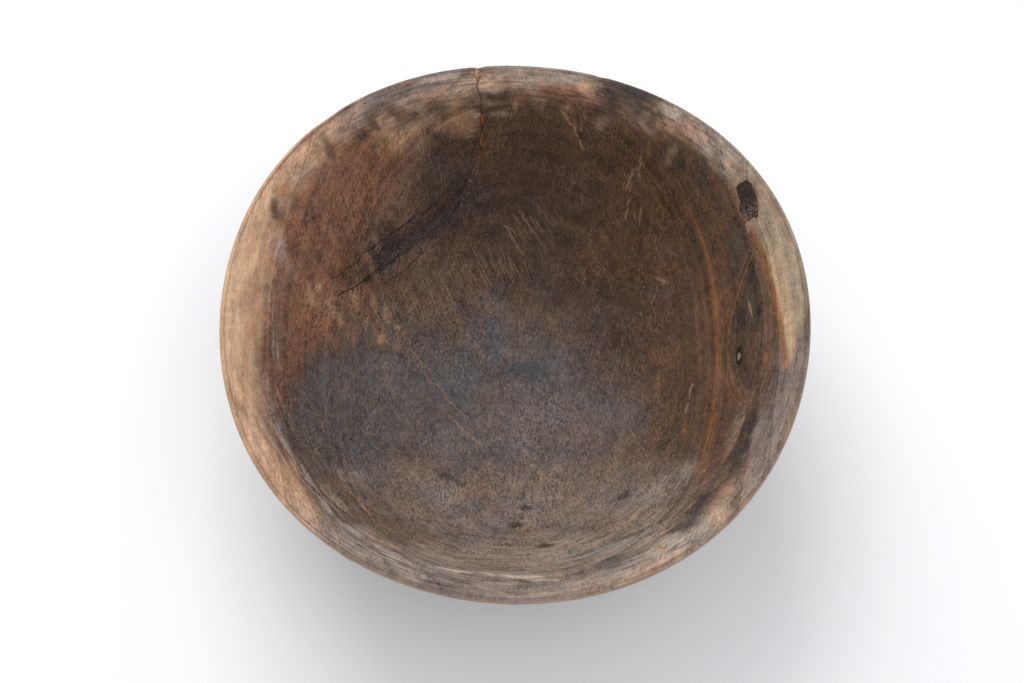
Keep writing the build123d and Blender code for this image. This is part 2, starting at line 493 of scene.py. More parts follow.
INSIDE_STAINS: tuple[Stain, ...] = (
    # Broad zones: the far wall, the floor and the near wall. The floor's slate grey is partly
    # painted reflection of the sky.
    # Partly painted shade: the far wall's warm umber is darkened where that wall faces away from the
    # light.
    Stain(Tone.WARM_UMBER, (60, 130), (120, 60), 0.95),
    Stain(Tone.SLATE_SKY_SHEEN, (-10, -10), (95, 62), 0.95),
    Stain(Tone.SLATE_SKY_SHEEN, (-120, -45), (40, 55), 0.9),
    Stain(Tone.MAUVE, (18, -25), (34, 26), 0.6),
    # Partly painted light: the near wall's ash, driftwood and taupe are lighter where that wall
    # faces the light.
    Stain(Tone.ASH, (5, -100), (100, 36), 0.85),
    Stain(Tone.DRIFTWOOD, (5, -160), (110, 26), 0.85),
    Stain(Tone.DRIFTWOOD, (92, -112), (46, 15), 0.9, 42),
    Stain(Tone.TAUPE, (36, -150), (80, 22), 0.4, 10),
    # The reddish fuzzy wood of the upper left and left wall.
    Stain(Tone.RUSSET, (-118, 104), (44, 48), 0.9, -35),
    Stain(Tone.REDWOOD, (-146, 50), (30, 52), 0.9, -12),
    Stain(Tone.REDWOOD, (-112, 132), (46, 20), 0.85, 38),
    Stain(Tone.RUSSET, (-160, -20), (10, 40), 0.5),
    Stain(Tone.TAN, (-82, 153), (15, 8), 0.7, 20),
    Stain(Tone.TAN, (-50, 165), (20, 7), 0.65, 8),
    Stain(Tone.SLATE_SKY_SHEEN, (-112, 6), (46, 17), 0.85, 42),
    Stain(Tone.RUSSET, (-153, -20), (8, 40), 0.75, -10),
    # Dark bands and patches.
    Stain(Tone.UMBER, (10, 128), (60, 34), 0.8),
    Stain(Tone.UMBER, (-45, 142), (22, 24), 0.75),
    Stain(Tone.UMBER, (15, 88), (55, 22), 0.6),
    Stain(Tone.WARM_UMBER, (84, 60), (34, 60), 0.85),
    Stain(Tone.UMBER, (76, 34), (30, 36), 0.8),
    Stain(Tone.BLACKENED, (80, 50), (22, 26), 0.45),
    Stain(Tone.WARM_UMBER, (100, 90), (44, 62), 0.5),
    Stain(Tone.UMBER, (-104, 78), (24, 13), 0.75, 38),
    Stain(Tone.BLACKENED, (2, 14), (15, 7), 0.55),
    Stain(Tone.COLD_SKY_SHEEN, (8, 12), (24, 10), 0.6),
    Stain(Tone.COLD_SKY_SHEEN, (-14, 32), (9, 16), 0.7),
    Stain(Tone.COLD_SKY_SHEEN, (-40, 5), (18, 26), 0.5),
    Stain(Tone.BLACKENED, (56, 72), (26, 10), 0.5),
    Stain(Tone.BLACKENED, (10, 78), (20, 8), 0.45),
    Stain(Tone.COLD_SKY_SHEEN, (-112, -62), (9, 12), 0.6),
    Stain(Tone.ASH, (-110, -92), (9, 5), 0.6),
    # The streaked right wall with its orange and dark bands.
    Stain(Tone.WARM_UMBER, (118, 10), (22, 80), 0.7),
    Stain(Tone.CHESTNUT, (142, 10), (12, 80), 0.8),
    Stain(Tone.UMBER, (158, 15), (8, 60), 0.7),
    Stain(Tone.CHESTNUT, (134, -72), (8, 36), 0.8, -16),
    Stain(Tone.BLACKENED, (156, -84), (9, 34), 0.8, -28),
    Stain(Tone.BLACKENED, (122, -128), (7, 22), 0.75, -42),
)

LIP_STAINS: tuple[Stain, ...] = (
    lip_stain(Tone.REDWOOD, 172, 30, 25, 9, 0.5),
    lip_stain(Tone.TAN, 176, 42, 5, 20, 0.95),
    lip_stain(Tone.PALE_TAN, 176, 34, 4, 10, 0.4),
    lip_stain(Tone.TAN, 168, 15, 18, 11, 0.6),
    lip_stain(Tone.TAN, 220, 16, 5, 11, 0.95),
    lip_stain(Tone.MAUVE, 255, 26, 6, 15, 0.85),
    lip_stain(Tone.MAUVE, 285, 22, 6, 14, 0.8),
    lip_stain(Tone.BONE, 301, 12, 10, 7, 0.45),
    lip_stain(Tone.TAN, 292, 12, 3, 6, 0.6),
    lip_stain(Tone.TAN, 318, 9, 10, 11, 0.6),
    lip_stain(Tone.ASH, 337, 20, 6, 15, 0.95),
    lip_stain(Tone.CHESTNUT, 337, 20, 9, 16, 0.2),
    lip_stain(Tone.DRIFTWOOD, 268, 40, 9, 15, 0.5),
    lip_stain(Tone.BLACKENED, 290, 5, 19, 4, 0.75),
    lip_stain(Tone.BLACKENED, 305, 4, 22, 4, 0.6),
    lip_stain(Tone.TAUPE, 42, 16, 6, 12, 0.8),
    lip_stain(Tone.REDWOOD, 50, 6, 13, 6, 0.5),
    lip_stain(Tone.UMBER, 40, 4, 26, 7, 0.75),
    lip_stain(Tone.UMBER, 49, 4, 28, 6, 0.7),
    lip_stain(Tone.UMBER, 66, 8, 11, 16, 0.85),
    lip_stain(Tone.BONE, 56, 2.5, 6, 4, 0.3),
    lip_stain(Tone.TAUPE, 79, 8, 5, 9, 0.75),
    lip_stain(Tone.REDWOOD, 80, 10, 17, 6, 0.6),
    lip_stain(Tone.MAUVE, 95, 16, 5, 13, 0.8),
    lip_stain(Tone.MAUVE, 113, 12, 4, 11, 0.8),
    lip_stain(Tone.TAUPE, 92, 14, 7, 10, 0.55),
    lip_stain(Tone.TAN, 100, 14, 14, 4, 0.45),
    lip_stain(Tone.ROSE_GREY, 128, 8, 10, 8, 0.4),
    lip_stain(Tone.BLACKENED, 122, 3, 14, 5, 0.6),
    lip_stain(Tone.TAN, 140, 10, 4, 8, 0.5),
)

SPOTS: tuple[Stain, ...] = (
    Stain(Tone.BLACKENED, (7, -101), (5, 3), 0.9, soft=0.3),
    Stain(Tone.BLACKENED, (1, -118), (5, 3), 0.85, soft=0.3),
    Stain(Tone.BLACKENED, (5, -89), (1.2, 6), 0.6, soft=0.4),
    Stain(Tone.TAUPE, (11, -112), (4, 5), 0.5, soft=0.3),
    Stain(Tone.UMBER, (20, -141), (5, 3), 0.85, soft=0.3),
    Stain(Tone.BLACKENED, (-47, -76), (10, 3), 0.6, -28),
    Stain(Tone.BLACKENED, (-36, -82), (5, 2), 0.5, -20),
    Stain(Tone.REDWOOD, (-28, -88), (12, 5), 0.35, 10),
    Stain(Tone.HONEY, (-161, 98), (2.6, 6), 0.7, -20),
    Stain(Tone.UMBER, (-166, 82), (3, 7), 0.85, 12),
    Stain(Tone.UMBER, (-108, 146), (6, 4), 0.85, 30),
    Stain(Tone.UMBER, (-100, 153), (3, 3), 0.8),
    Stain(Tone.UMBER, (-88, 164), (6, 3.5), 0.8, 25),
    Stain(Tone.UMBER, (-143, 52), (2, 3), 0.7),
    Stain(Tone.BLACKENED, (86, 174), (9, 4), 0.85, -28),
    Stain(Tone.BLACKENED, (116, 128), (7, 3), 0.6, -45),
    Stain(Tone.BLACKENED, (74, -98), (6, 2.5), 0.6, 35),
    Stain(Tone.BLACKENED, (104, -60), (3, 5), 0.5, -10),
    Stain(Tone.BLACKENED, (163, 43), (2.5, 10), 0.85),
    Stain(Tone.BLACKENED, (156, 14), (3, 11), 0.6),
    Stain(Tone.UMBER, (162, 88), (9, 17), 0.55, soft=0.35),
    # Painted highlights: thin pale glints along the near lip's ridge, and lilac sheen on the lower
    # left and left lip.
    lip_stain(Tone.GLINT_PALE, 257, 4, 18, 1.2, 0.7),
    lip_stain(Tone.GLINT_PALE, 263, 3, 21, 0.9, 0.5),
    lip_stain(Tone.GLINT_PALE, 271, 4, 20, 1.3, 0.75),
    lip_stain(Tone.GLINT_PALE, 276, 3, 16, 1.0, 0.6),
    lip_stain(Tone.GLINT_PALE, 247, 4, 15, 1.0, 0.5),
    lip_stain(Tone.GLINT_PALE, 243, 4, 18, 1.4, 0.55),
    lip_stain(Tone.GLINT_PALE, 235, 3, 21, 1.8, 0.5),
    lip_stain(Tone.GLINT_PALE, 227, 3, 22, 1.4, 0.5),
    lip_stain(Tone.GLINT_PALE, 219, 4, 25, 1.8, 0.4),
    lip_stain(Tone.LILAC_SHEEN, 210, 6, 26, 2.4, 0.5),
    lip_stain(Tone.LILAC_SHEEN, 198, 6, 27, 2.4, 0.45),
    Stain(Tone.LILAC_SHEEN, (-163, 58), (4, 9), 0.55, -10),
    Stain(Tone.LILAC_SHEEN, (-157, 50), (3, 7), 0.35, 30),
)

@dataclass(frozen=True)
class Strewn:
    """Small stains strewn at random over a region: the fine blotches of old wood."""

    tones: tuple[Tone, ...]
    count: int
    at: tuple[float, float]
    spread: tuple[float, float]
    reach: tuple[float, float]
    strength: float
    turn: float = 0.0
    place: Place = Place.FLOOR

    def stains(self, seed: int) -> tuple[Stain, ...]:
        """The stains: even over the region, of uneven size, turn and strength."""
        rng = np.random.default_rng(seed)
        found = []
        for _ in range(self.count):
            at = np.array(self.at) + np.array(self.spread) * rng.uniform(-1.0, 1.0, 2)
            reach = np.array(self.reach) * rng.uniform(0.4, 1.4, 2)
            tone = self.tones[rng.integers(len(self.tones))]
            strength = self.strength * rng.uniform(0.4, 1.0)
            turn = self.turn + rng.normal(0.0, 14.0)
            found.append(Stain(tone, tuple(at), tuple(reach), strength, turn, self.place))
        return tuple(found)


LIP_BLOTS = (Tone.UMBER, Tone.TAUPE, Tone.CHESTNUT, Tone.REDWOOD, Tone.TAN)
WALL_BLOTS = (Tone.UMBER, Tone.WARM_UMBER, Tone.CHESTNUT, Tone.BLACKENED)
STREWN: tuple[Strewn, ...] = (
    Strewn((Tone.UMBER, Tone.MAUVE, Tone.TAUPE, Tone.DRIFTWOOD, Tone.TAN, Tone.BLACKENED), 120,
           (272, 23), (66, 22), (4.5, 1.5), 0.5, place=Place.LIP),
    Strewn((Tone.PALE_TAN, Tone.REDWOOD, Tone.TAN, Tone.ROSE_GREY), 40,
           (182, 13), (36, 13), (4.5, 2.0), 0.4, place=Place.LIP),
    Strewn(LIP_BLOTS, 70, (62, 15), (34, 14), (1.6, 3.0), 0.5, place=Place.LIP),
    Strewn((Tone.TAN, Tone.UMBER, Tone.ROSE_GREY, Tone.REDWOOD), 60,
           (122, 16), (28, 16), (3.4, 2.0), 0.4, place=Place.LIP),
    Strewn((Tone.CHESTNUT, Tone.REDWOOD, Tone.TAN, Tone.UMBER), 110,
           (-122, 80), (44, 62), (2.0, 6.0), 0.6),
    # Floor blotches, the slate ones partly painted sky reflection.
    Strewn((Tone.SLATE_SKY_SHEEN, Tone.ASH, Tone.COLD_SKY_SHEEN, Tone.CHESTNUT), 90,
           (0, -20), (115, 95), (3.5, 3.5), 0.3),
    Strewn(WALL_BLOTS, 90, (30, 120), (95, 52), (3.5, 5.0), 0.4),
    Strewn((Tone.CHESTNUT, Tone.UMBER, Tone.AMBER, Tone.BLACKENED), 70,
           (132, -20), (36, 84), (1.6, 7.0), 0.35),
)


def small_stains() -> tuple[Stain, ...]:
    """The strewn blotches and, over them, the spots that have a place of their own."""
    strewn = sum((group.stains(seed) for seed, group in enumerate(STREWN)), ())
    return strewn + SPOTS


@dataclass(frozen=True)
class Stroke:
    """A short straight mark on the inside, seen from above, in mm."""

    start: tuple[float, float]
    end: tuple[float, float]
    half_width: float = 0.5

    def measure(self, x: Array, y: Array) -> tuple[Array, Array]:
        """Signed offset across the stroke and overshoot past its nearer end, in mm."""
        (x0, y0), (x1, y1) = self.start, self.end
        length = math.hypot(x1 - x0, y1 - y0)
        c, s = (x1 - x0) / length, (y1 - y0) / length
        along = (x - x0) * c + (y - y0) * s
        past = np.maximum(np.abs(along - length / 2) - length / 2, 0.0)
        return (y - y0) * c - (x - x0) * s, past


def stroke_fields(strokes: tuple[Stroke, ...], x: Array, y: Array) -> tuple[Array, Array]:
    """Where the nearest stroke runs.

    Args:
        strokes: the strokes.
        x: across the bowl, in mm.
        y: along the bowl, in mm.
    Returns:
        The signed offset from the nearest stroke over its half width, which crosses zero
        on the stroke, and a share that fades past its ends and away from it.
    """
    best = np.full(x.shape, np.inf)
    signed, near = np.zeros(x.shape), np.zeros(x.shape)
    for stroke in strokes:
        across, past = stroke.measure(x, y)
        away = np.hypot(across, past)
        closer = away < best
        best = np.where(closer, away, best)
        signed = np.where(closer, across / stroke.half_width, signed)
        share = (1.0 - ease(past, 0.0, 2.0)) * (1.0 - ease(np.abs(across), 3.0, 5.0))
        near = np.where(closer, share, near)
    return signed, near


MARKS: tuple[Stroke, ...] = (
    Stroke((-84, 45), (-64, 5), 0.6),
    Stroke((-64, 5), (-36, -24), 0.6),
    Stroke((-50, -22), (-24, -49), 0.6),
    Stroke((-43, 50), (-22, 24), 0.5),
    Stroke((34, 169), (43, 160), 1.0),
    Stroke((43, 160), (49, 151), 0.9),
    Stroke((82, -40), (92, -66), 0.5),
    Stroke((50, -68), (59, -88), 0.5),
    Stroke((85, 133), (81, 126), 1.2),
    Stroke((90, 137), (90, 130), 1.0),
    Stroke((84, 119), (81, 111), 0.9),
    Stroke((92, 113), (91, 106), 0.7),
    Stroke((105, 69), (108, 65), 1.6),
    Stroke((104, 63), (101, 54), 0.7),
    Stroke((124, -18), (123, -27), 0.9),
    Stroke((122, -33), (120, -39), 1.0),
    Stroke((-132, 30), (-128, 12), 0.5),
    Stroke((-104, 52), (-92, 28), 0.6),
    Stroke((-98, 66), (-86, 46), 0.5),
    Stroke((-8, 118), (6, 100), 0.6),
    Stroke((4, 126), (12, 112), 0.6),
    Stroke((-30, 100), (-18, 78), 0.5),
    Stroke((-56, 84), (-44, 62), 0.6),
)

CREASES: tuple[Stroke, ...] = (
    Stroke((-38, 131), (-47, 120), 0.9),
    Stroke((-47, 120), (-76, 98), 1.1),
    Stroke((-76, 98), (-111, 65), 1.4),
    Stroke((-111, 65), (-126, 48), 0.8),
    Stroke((-58, 124), (-84, 106), 0.8),
    Stroke((-84, 106), (-107, 84), 0.9),
    Stroke((-107, 84), (-130, 58), 0.6),
    Stroke((-66, 96), (-94, 70), 0.6),
    Stroke((-28, 158), (-33, 146), 0.5),
)

OUTSIDE_STAINS: tuple[Stain, ...] = (
    Stain(Tone.CHESTNUT, (0, 0), (240, 240), 0.9),
    Stain(Tone.TAN, (-200, 10), (34, 120), 0.7),
    Stain(Tone.ROSE_GREY, (200, 10), (30, 110), 0.7),
    Stain(Tone.UMBER, (40, -150), (80, 45), 0.6),
    Stain(Tone.UMBER, (-60, 150), (80, 40), 0.6),
    Stain(Tone.BLACKENED, (0, 0), (84, 84), 0.5),
    Stain(Tone.ASH, (0, 0), (70, 70), 0.6),
)

SCRATCHED: tuple[Stain, ...] = (
    Stain(Tone.TAN, (-42, 76), (76, 22), 1.0, 28),
    Stain(Tone.TAN, (10, 115), (22, 10), 1.0, 20),
    Stain(Tone.TAN, (-95, 35), (20, 24), 0.9),
    Stain(Tone.TAN, (62, -118), (42, 16), 0.9, -20),
    Stain(Tone.TAN, (20, -90), (30, 20), 0.5),
)

# Where highlights are painted: pale glints and sheen on the left lip, the near lip's ridge and rim,
# and beside the crack.
PAINTED_GLINTS: tuple[Stain, ...] = (
    Stain(Tone.BONE, (-163, 56), (5, 12), 1.0),
    Stain(Tone.BONE, (-168, 10), (4, 34), 0.8),
    Stain(Tone.BONE, (-158, -46), (6, 30), 0.9, 12),
    Stain(Tone.BONE, (-20, -181), (40, 5), 1.0, -3),
    Stain(Tone.BONE, (-34, 164), (4, 5), 0.9),
    Stain(Tone.BONE, (-110, -92), (5, 8), 0.5, 30),
    lip_stain(Tone.BONE, 216, 22, 22, 5, 1.0),
    lip_stain(Tone.BONE, 246, 12, 15, 4, 0.9),
    lip_stain(Tone.BONE, 300, 10, 11, 7, 0.9),
    lip_stain(Tone.BONE, 320, 10, 10, 6, 0.6),
    lip_stain(Tone.BONE, 56, 2, 7, 4, 0.5),
    lip_stain(Tone.BONE, 99, 2, 30, 5, 0.9),
)


def painted(stains: tuple[Stain, ...], base: Array, x: Array, y: Array, angle: Array,
            inset: Array) -> Array:
    """Lays stains over a base colour, one after the other.

    Args:
        stains: the stains, the lowest first.
        base: colours to start from, one for each point.
        x: across the bowl, in mm.
        y: along the bowl, in mm.
        angle: round the bowl, in degrees.
        inset: from the rim inwards, in mm.
    Returns:
        Colours in linear light: each stain mixes its tone in by its cover.
    """
    colour = base
    for stain in stains:
        cover = stain.cover(x, y, angle, inset)[..., None]
        colour = colour * (1.0 - cover) + stain.tone.linear * cover
    return colour


# ------------------------------------------------------------------------------- meshes


def grid_faces(rows: int, columns: int, first: int = 0) -> Array:
    """Quads of a grid that closes on itself along its columns."""
    row = np.arange(rows - 1)[:, None] * columns + first
    here = np.arange(columns)[None, :]
    after = (here + 1) % columns
    quads = [row + here, row + after, row + columns + after, row + columns + here]
    return np.stack(np.broadcast_arrays(*quads), axis=-1).reshape(-1, 4)


def closed_mesh(name: str, rows: Array, start: Array, end: Array) -> bpy.types.Object:
    """A closed skin: rings of points with one point closing each end.

    Args:
        name: the piece's name.
        rows: points by ring and column, from the first end to the last.
        start: the point that closes the first ring.
        end: the point that closes the last ring.
    Returns:
        The new object, smooth shaded. Its faces turn outwards when the rings climb the outer
        surface first, and inwards when they start on an inner one, as the body's do.
    """
    count, columns = rows.shape[:2]
    points = np.concatenate([rows.reshape(-1, 3), start[None], end[None]])
    quads = grid_faces(count, columns)
    here = np.arange(columns)
    after = (here + 1) % columns
    first, last = count * columns, count * columns + 1
    fan_start = np.stack([np.full(columns, first), after, here], axis=-1)
    tail = (count - 1) * columns
    fan_end = np.stack([np.full(columns, last), tail + here, tail + after], axis=-1)
    faces = [*quads.tolist(), *fan_start.tolist(), *fan_end.tolist()]
    mesh = bpy.data.meshes.new(name)
    mesh.from_pydata(points.tolist(), [], faces)
    mesh.polygons.foreach_set("use_smooth", np.ones(len(faces), bool))
    mesh.update()
    piece = bpy.data.objects.new(name, mesh)
    bpy.context.scene.collection.objects.link(piece)
    return piece


def set_numbers(piece: bpy.types.Object, name: str, values: Array) -> None:
    """Stores one number or one colour for each vertex of a piece."""
    if values.ndim == 1:
        layer = piece.data.attributes.new(name, "FLOAT", "POINT")
        layer.data.foreach_set("value", values.astype(np.float32))
        return
    layer = piece.data.attributes.new(name, "FLOAT_COLOR", "POINT")
    opaque = np.concatenate([values, np.ones((len(values), 1))], axis=1)
    layer.data.foreach_set("color", opaque.astype(np.float32).ravel())


# ------------------------------------------------------------------------------ finishes


class NodeSheet:
    """Lays out the shader nodes of one finish."""

    def __init__(self, name: str, sheen: float = 0.2) -> None:
        """Starts an empty material with a Principled surface.

        Args:
            name: the finish's name.
            sheen: how strongly the surface mirrors, 0.5 being usual.
        """
        self.sheen = sheen
        self.material = bpy.data.materials.new(name)
        self.material.use_nodes = True
        self.nodes = self.material.node_tree.nodes
        self.links = self.material.node_tree.links
        self.nodes.clear()
        self.surface = self.add("ShaderNodeBsdfPrincipled")
        output = self.add("ShaderNodeOutputMaterial")
        self.links.new(self.surface.outputs["BSDF"], output.inputs["Surface"])
        self.object_place = self.add("ShaderNodeTexCoord").outputs["Object"]

    def add(self, kind: str, **settings: object) -> bpy.types.Node:
        """Adds a node and sets its properties."""
        node = self.nodes.new(kind)
        for key, value in settings.items():
            setattr(node, key, value)
        return node

    def feed(self, socket: bpy.types.NodeSocket, value: object) -> None:
        """Links a socket, or sets its number."""
        if isinstance(value, bpy.types.NodeSocket):
            self.links.new(value, socket)
        elif value is not None:
            socket.default_value = value

    def math(self, operation: str, a: object, b: object = None, c: object = None,
             clamp: bool = False) -> bpy.types.NodeSocket:
        """One step of arithmetic."""
        node = self.add("ShaderNodeMath", operation=operation, use_clamp=clamp)
        for socket, value in zip(node.inputs, (a, b, c)):
            self.feed(socket, value)
        return node.outputs["Value"]

    def vector(self, operation: str, a: object, b: object = None,
               scale: object = None) -> bpy.types.NodeSocket:
        """One step of vector arithmetic."""
        node = self.add("ShaderNodeVectorMath", operation=operation)
        self.feed(node.inputs[0], a)
        self.feed(node.inputs[1], b)
        if scale is not None:
            self.feed(node.inputs["Scale"], scale)
        return node.outputs["Value" if operation in ("LENGTH", "DISTANCE") else "Vector"]

    def mapped(self, vector: object, scale: tuple[float, float, float],
               turn: float = 0.0, move: tuple[float, float, float] = (0, 0, 0)
               ) -> bpy.types.NodeSocket:
        """A pattern's coordinates: moved, turned about Z in degrees and stretched."""
        node = self.add("ShaderNodeMapping", vector_type="TEXTURE")
        self.feed(node.inputs["Vector"], vector)
        node.inputs["Location"].default_value = move
        node.inputs["Rotation"].default_value = (0, 0, math.radians(turn))
        node.inputs["Scale"].default_value = scale
        return node.outputs["Vector"]

    def noise(self, vector: object, scale: float = 1.0, detail: float = 2.0,
              roughness: float = 0.5, distortion: float = 0.0) -> bpy.types.NodeSocket:
        """Cloudy noise from about 0.2 to 0.8."""
        node = self.add("ShaderNodeTexNoise")
        self.feed(node.inputs["Vector"], vector)
        node.inputs["Scale"].default_value = scale
        node.inputs["Detail"].default_value = detail
        node.inputs["Roughness"].default_value = roughness
        node.inputs["Distortion"].default_value = distortion
        return node.outputs["Fac"]

    def noise_along(self, number: object, scale: float, detail: float = 2.0
                    ) -> bpy.types.NodeSocket:
        """Noise along a single number, such as a ring's radius."""
        node = self.add("ShaderNodeTexNoise", noise_dimensions="1D")
        self.feed(node.inputs["W"], number)
        node.inputs["Scale"].default_value = scale
        node.inputs["Detail"].default_value = detail
        return node.outputs["Fac"]

    def voronoi(self, vector: object, scale: float, feature: str = "F1"
                ) -> bpy.types.NodeSocket:
        """Distance to scattered points on the plane."""
        node = self.add("ShaderNodeTexVoronoi", feature=feature, voronoi_dimensions="2D")
        self.feed(node.inputs["Vector"], vector)
        node.inputs["Scale"].default_value = scale
        return node.outputs["Distance"]

    def range(self, value: object, low: object, high: object, out_low: float = 0.0,
              out_high: float = 1.0, smooth: bool = True) -> bpy.types.NodeSocket:
        """Maps a number from one range onto another, clamped."""
        kind = "SMOOTHSTEP" if smooth else "LINEAR"
        node = self.add("ShaderNodeMapRange", interpolation_type=kind, clamp=True)
        for key, number in zip(("Value", "From Min", "From Max", "To Min", "To Max"),
                               (value, low, high, out_low, out_high)):
            self.feed(node.inputs[key], number)
        return node.outputs["Result"]

    def mix(self, share: object, a: object, b: object, blend: str = "MIX"
            ) -> bpy.types.NodeSocket:
        """Mixes two colours. A plain colour is three linear numbers."""
        node = self.add("ShaderNodeMix", data_type="RGBA", blend_type=blend)
        self.feed(node.inputs["Factor"], share)
        for index, value in ((6, a), (7, b)):
            if not isinstance(value, bpy.types.NodeSocket):
                value = (*value, 1.0)
            self.feed(node.inputs[index], value)
        return node.outputs[2]

    def attribute(self, name: str, colour: bool = False) -> bpy.types.NodeSocket:
        """A number or colour stored on the mesh."""
        node = self.add("ShaderNodeAttribute", attribute_name=name)
        return node.outputs["Color" if colour else "Fac"]

    def bump(self, height: object, distance: float, strength: float = 1.0,
             under: object = None) -> bpy.types.NodeSocket:
        """Fine relief from a height pattern."""
        node = self.add("ShaderNodeBump")
        self.feed(node.inputs["Height"], height)
        self.feed(node.inputs["Normal"], under)
        node.inputs["Distance"].default_value = distance
        node.inputs["Strength"].default_value = strength
        return node.outputs["Normal"]

    def finish(self, colour: object, roughness: object, normal: object = None
               ) -> bpy.types.Material:
        """Connects the surface and returns the material."""
        if isinstance(colour, bpy.types.NodeSocket):
            self.feed(self.surface.inputs["Base Color"], colour)
        else:
            self.surface.inputs["Base Color"].default_value = (*colour, 1.0)
        self.feed(self.surface.inputs["Roughness"], roughness)
        self.surface.inputs["Specular IOR Level"].default_value = self.sheen
        self.feed(self.surface.inputs["Normal"], normal)
        return self.material


@dataclass(frozen=True)
class CarvedWood:
    """The bowl's own wood: tint from the mesh, rings, fibres, pores and scratches."""

    pith_x: float = 10 * MM
    pith_depth: float = 34 * MM
    sap_ring: float = 242.5 * MM
    sap_lean: float = 0.12
    line_ring: float = 180 * MM
    line_lean: float = -0.03
    almond_x: float = 160.8 * MM
    almond_half_width: float = 12.5 * MM
    almond_half_length: float = 56 * MM
    knots: tuple = (
        ((161 * MM, 89 * MM, 134 * MM), 44 * MM, 7 * MM),
        ((154 * MM, -15 * MM, 100 * MM), 20 * MM, 6 * MM),
    )
    fibre_width: float = 0.9 * MM
    fibre_length: float = 9 * MM
    hair_width: float = 0.45 * MM
    hair_spread: float = 1.5

    @staticmethod
    def glint_tone() -> Array:
        """Pale lilac of the painted glints and sheen, in linear light."""
        return 0.6 * Tone.LILAC_SHEEN.linear + 0.4 * Tone.BONE.linear

    def ring_radius(self, sheet: NodeSheet) -> bpy.types.NodeSocket:
        """Distance from the log's pith, which runs along Y under the foot.

        A slow noise bends it, and so do the knots: the rings swing round them.
        """
        place = sheet.object_place
        wander = sheet.math("MULTIPLY", sheet.noise(place, 9, 2, 0.5), 0.012)
        flat = sheet.mapped(place, (1, 1e6, 1), 0, (self.pith_x, 0, -self.pith_depth))
        radius = sheet.math("ADD", sheet.vector("LENGTH", flat), wander)
        for centre, reach, push in self.knots:
            near = sheet.range(sheet.vector("DISTANCE", place, centre), reach, 0.0)
            radius = sheet.math("MULTIPLY_ADD", near, push, radius)
        return radius

    def leaning(self, sheet: NodeSheet, radius: bpy.types.NodeSocket, lean: float
                ) -> bpy.types.NodeSocket:
        """A ring radius that grows along Y, because the log tapers."""
        split = sheet.add("ShaderNodeSeparateXYZ")
        sheet.feed(split.inputs[0], sheet.object_place)
        return sheet.math("MULTIPLY_ADD", split.outputs["Y"], lean, radius)

    def hair_layer(self, sheet: NodeSheet, place: bpy.types.NodeSocket, size: float,
                   shift: float) -> bpy.types.NodeSocket:
        """Torn fibres seen from above: one thin straight hair in about half of the cells.

        The point's offset from its cell's seed is turned by a random angle about the grain;
        a hair is where the offset across is small and the offset along is under half a cell.

        Args:
            sheet: the material's node sheet.
            place: object coordinates.
            size: cell size, in metres.
            shift: moves the net, so that layers differ.
        Returns:
            The socket that holds the share, from 0 to 1.
        """
        local = sheet.mapped(place, (size, size, 1), 0, (shift, shift, 0))
        cell = sheet.add("ShaderNodeTexVoronoi", voronoi_dimensions="2D")
        sheet.feed(cell.inputs["Vector"], local)
        cell.inputs["Scale"].default_value = 1.0
        chance = sheet.add("ShaderNodeSeparateColor")
        sheet.feed(chance.inputs[0], cell.outputs["Color"])
        away = sheet.add("ShaderNodeSeparateXYZ")
        sheet.feed(away.inputs[0], sheet.vector("SUBTRACT", local, cell.outputs["Position"]))
        turn = sheet.math("MULTIPLY_ADD", chance.outputs["Red"], self.hair_spread,
                          (math.pi - self.hair_spread) / 2)
        c, s = sheet.math("COSINE", turn), sheet.math("SINE", turn)
        x, y = away.outputs["X"], away.outputs["Y"]
        along = sheet.math("MULTIPLY_ADD", x, c, sheet.math("MULTIPLY", y, s))
        across = sheet.math("MULTIPLY", x, s)
        across = sheet.math("SUBTRACT", sheet.math("MULTIPLY", y, c), across)
        width = self.hair_width / size
        thin = sheet.range(sheet.math("ABSOLUTE", across), width, 0.3 * width)
        short = sheet.range(sheet.math("ABSOLUTE", along), 0.5, 0.3)
        picked = sheet.range(chance.outputs["Green"], 0.35, 0.9, 0.0, 1.0)
        return sheet.math("MULTIPLY", sheet.math("MULTIPLY", thin, short), picked)

    def hairs(self, sheet: NodeSheet, place: bpy.types.NodeSocket, sizes: tuple[float, ...]
              ) -> bpy.types.NodeSocket:
        """Several layers of hairs, the strongest at each point."""
        total = None
        for number, size in enumerate(sizes):
            layer = self.hair_layer(sheet, place, size, 0.37 * number)
            total = layer if total is None else sheet.math("MAXIMUM", total, layer)
        return total

    def scratches(self, sheet: NodeSheet) -> bpy.types.NodeSocket:
        """Fine pale tool scratches, scattered where the mesh says it is scratched."""
        place = sheet.object_place
        bend = sheet.add("ShaderNodeTexNoise")
        sheet.feed(bend.inputs["Vector"], place)
        bend.inputs["Scale"].default_value = 25
        bent = sheet.vector("SCALE", bend.outputs["Color"], scale=0.012)
        moved = sheet.vector("ADD", place, bent)
        amount = sheet.attribute("scratched")
        total = None
        for turn, shift in ((-60, 0.0), (-53, 0.37), (-66, 0.71)):
            local = sheet.mapped(moved, (60 * MM, 2.4 * MM, 1), turn, (shift, shift, 0))
            near = sheet.voronoi(local, 1.0)
            reach = sheet.math("MULTIPLY", amount, 0.20)
            line = sheet.range(near, reach, sheet.math("MULTIPLY", reach, 0.3))
            total = line if total is None else sheet.math("MAXIMUM", total, line)
        return sheet.math("MULTIPLY", total, sheet.range(amount, 0.05, 0.3))

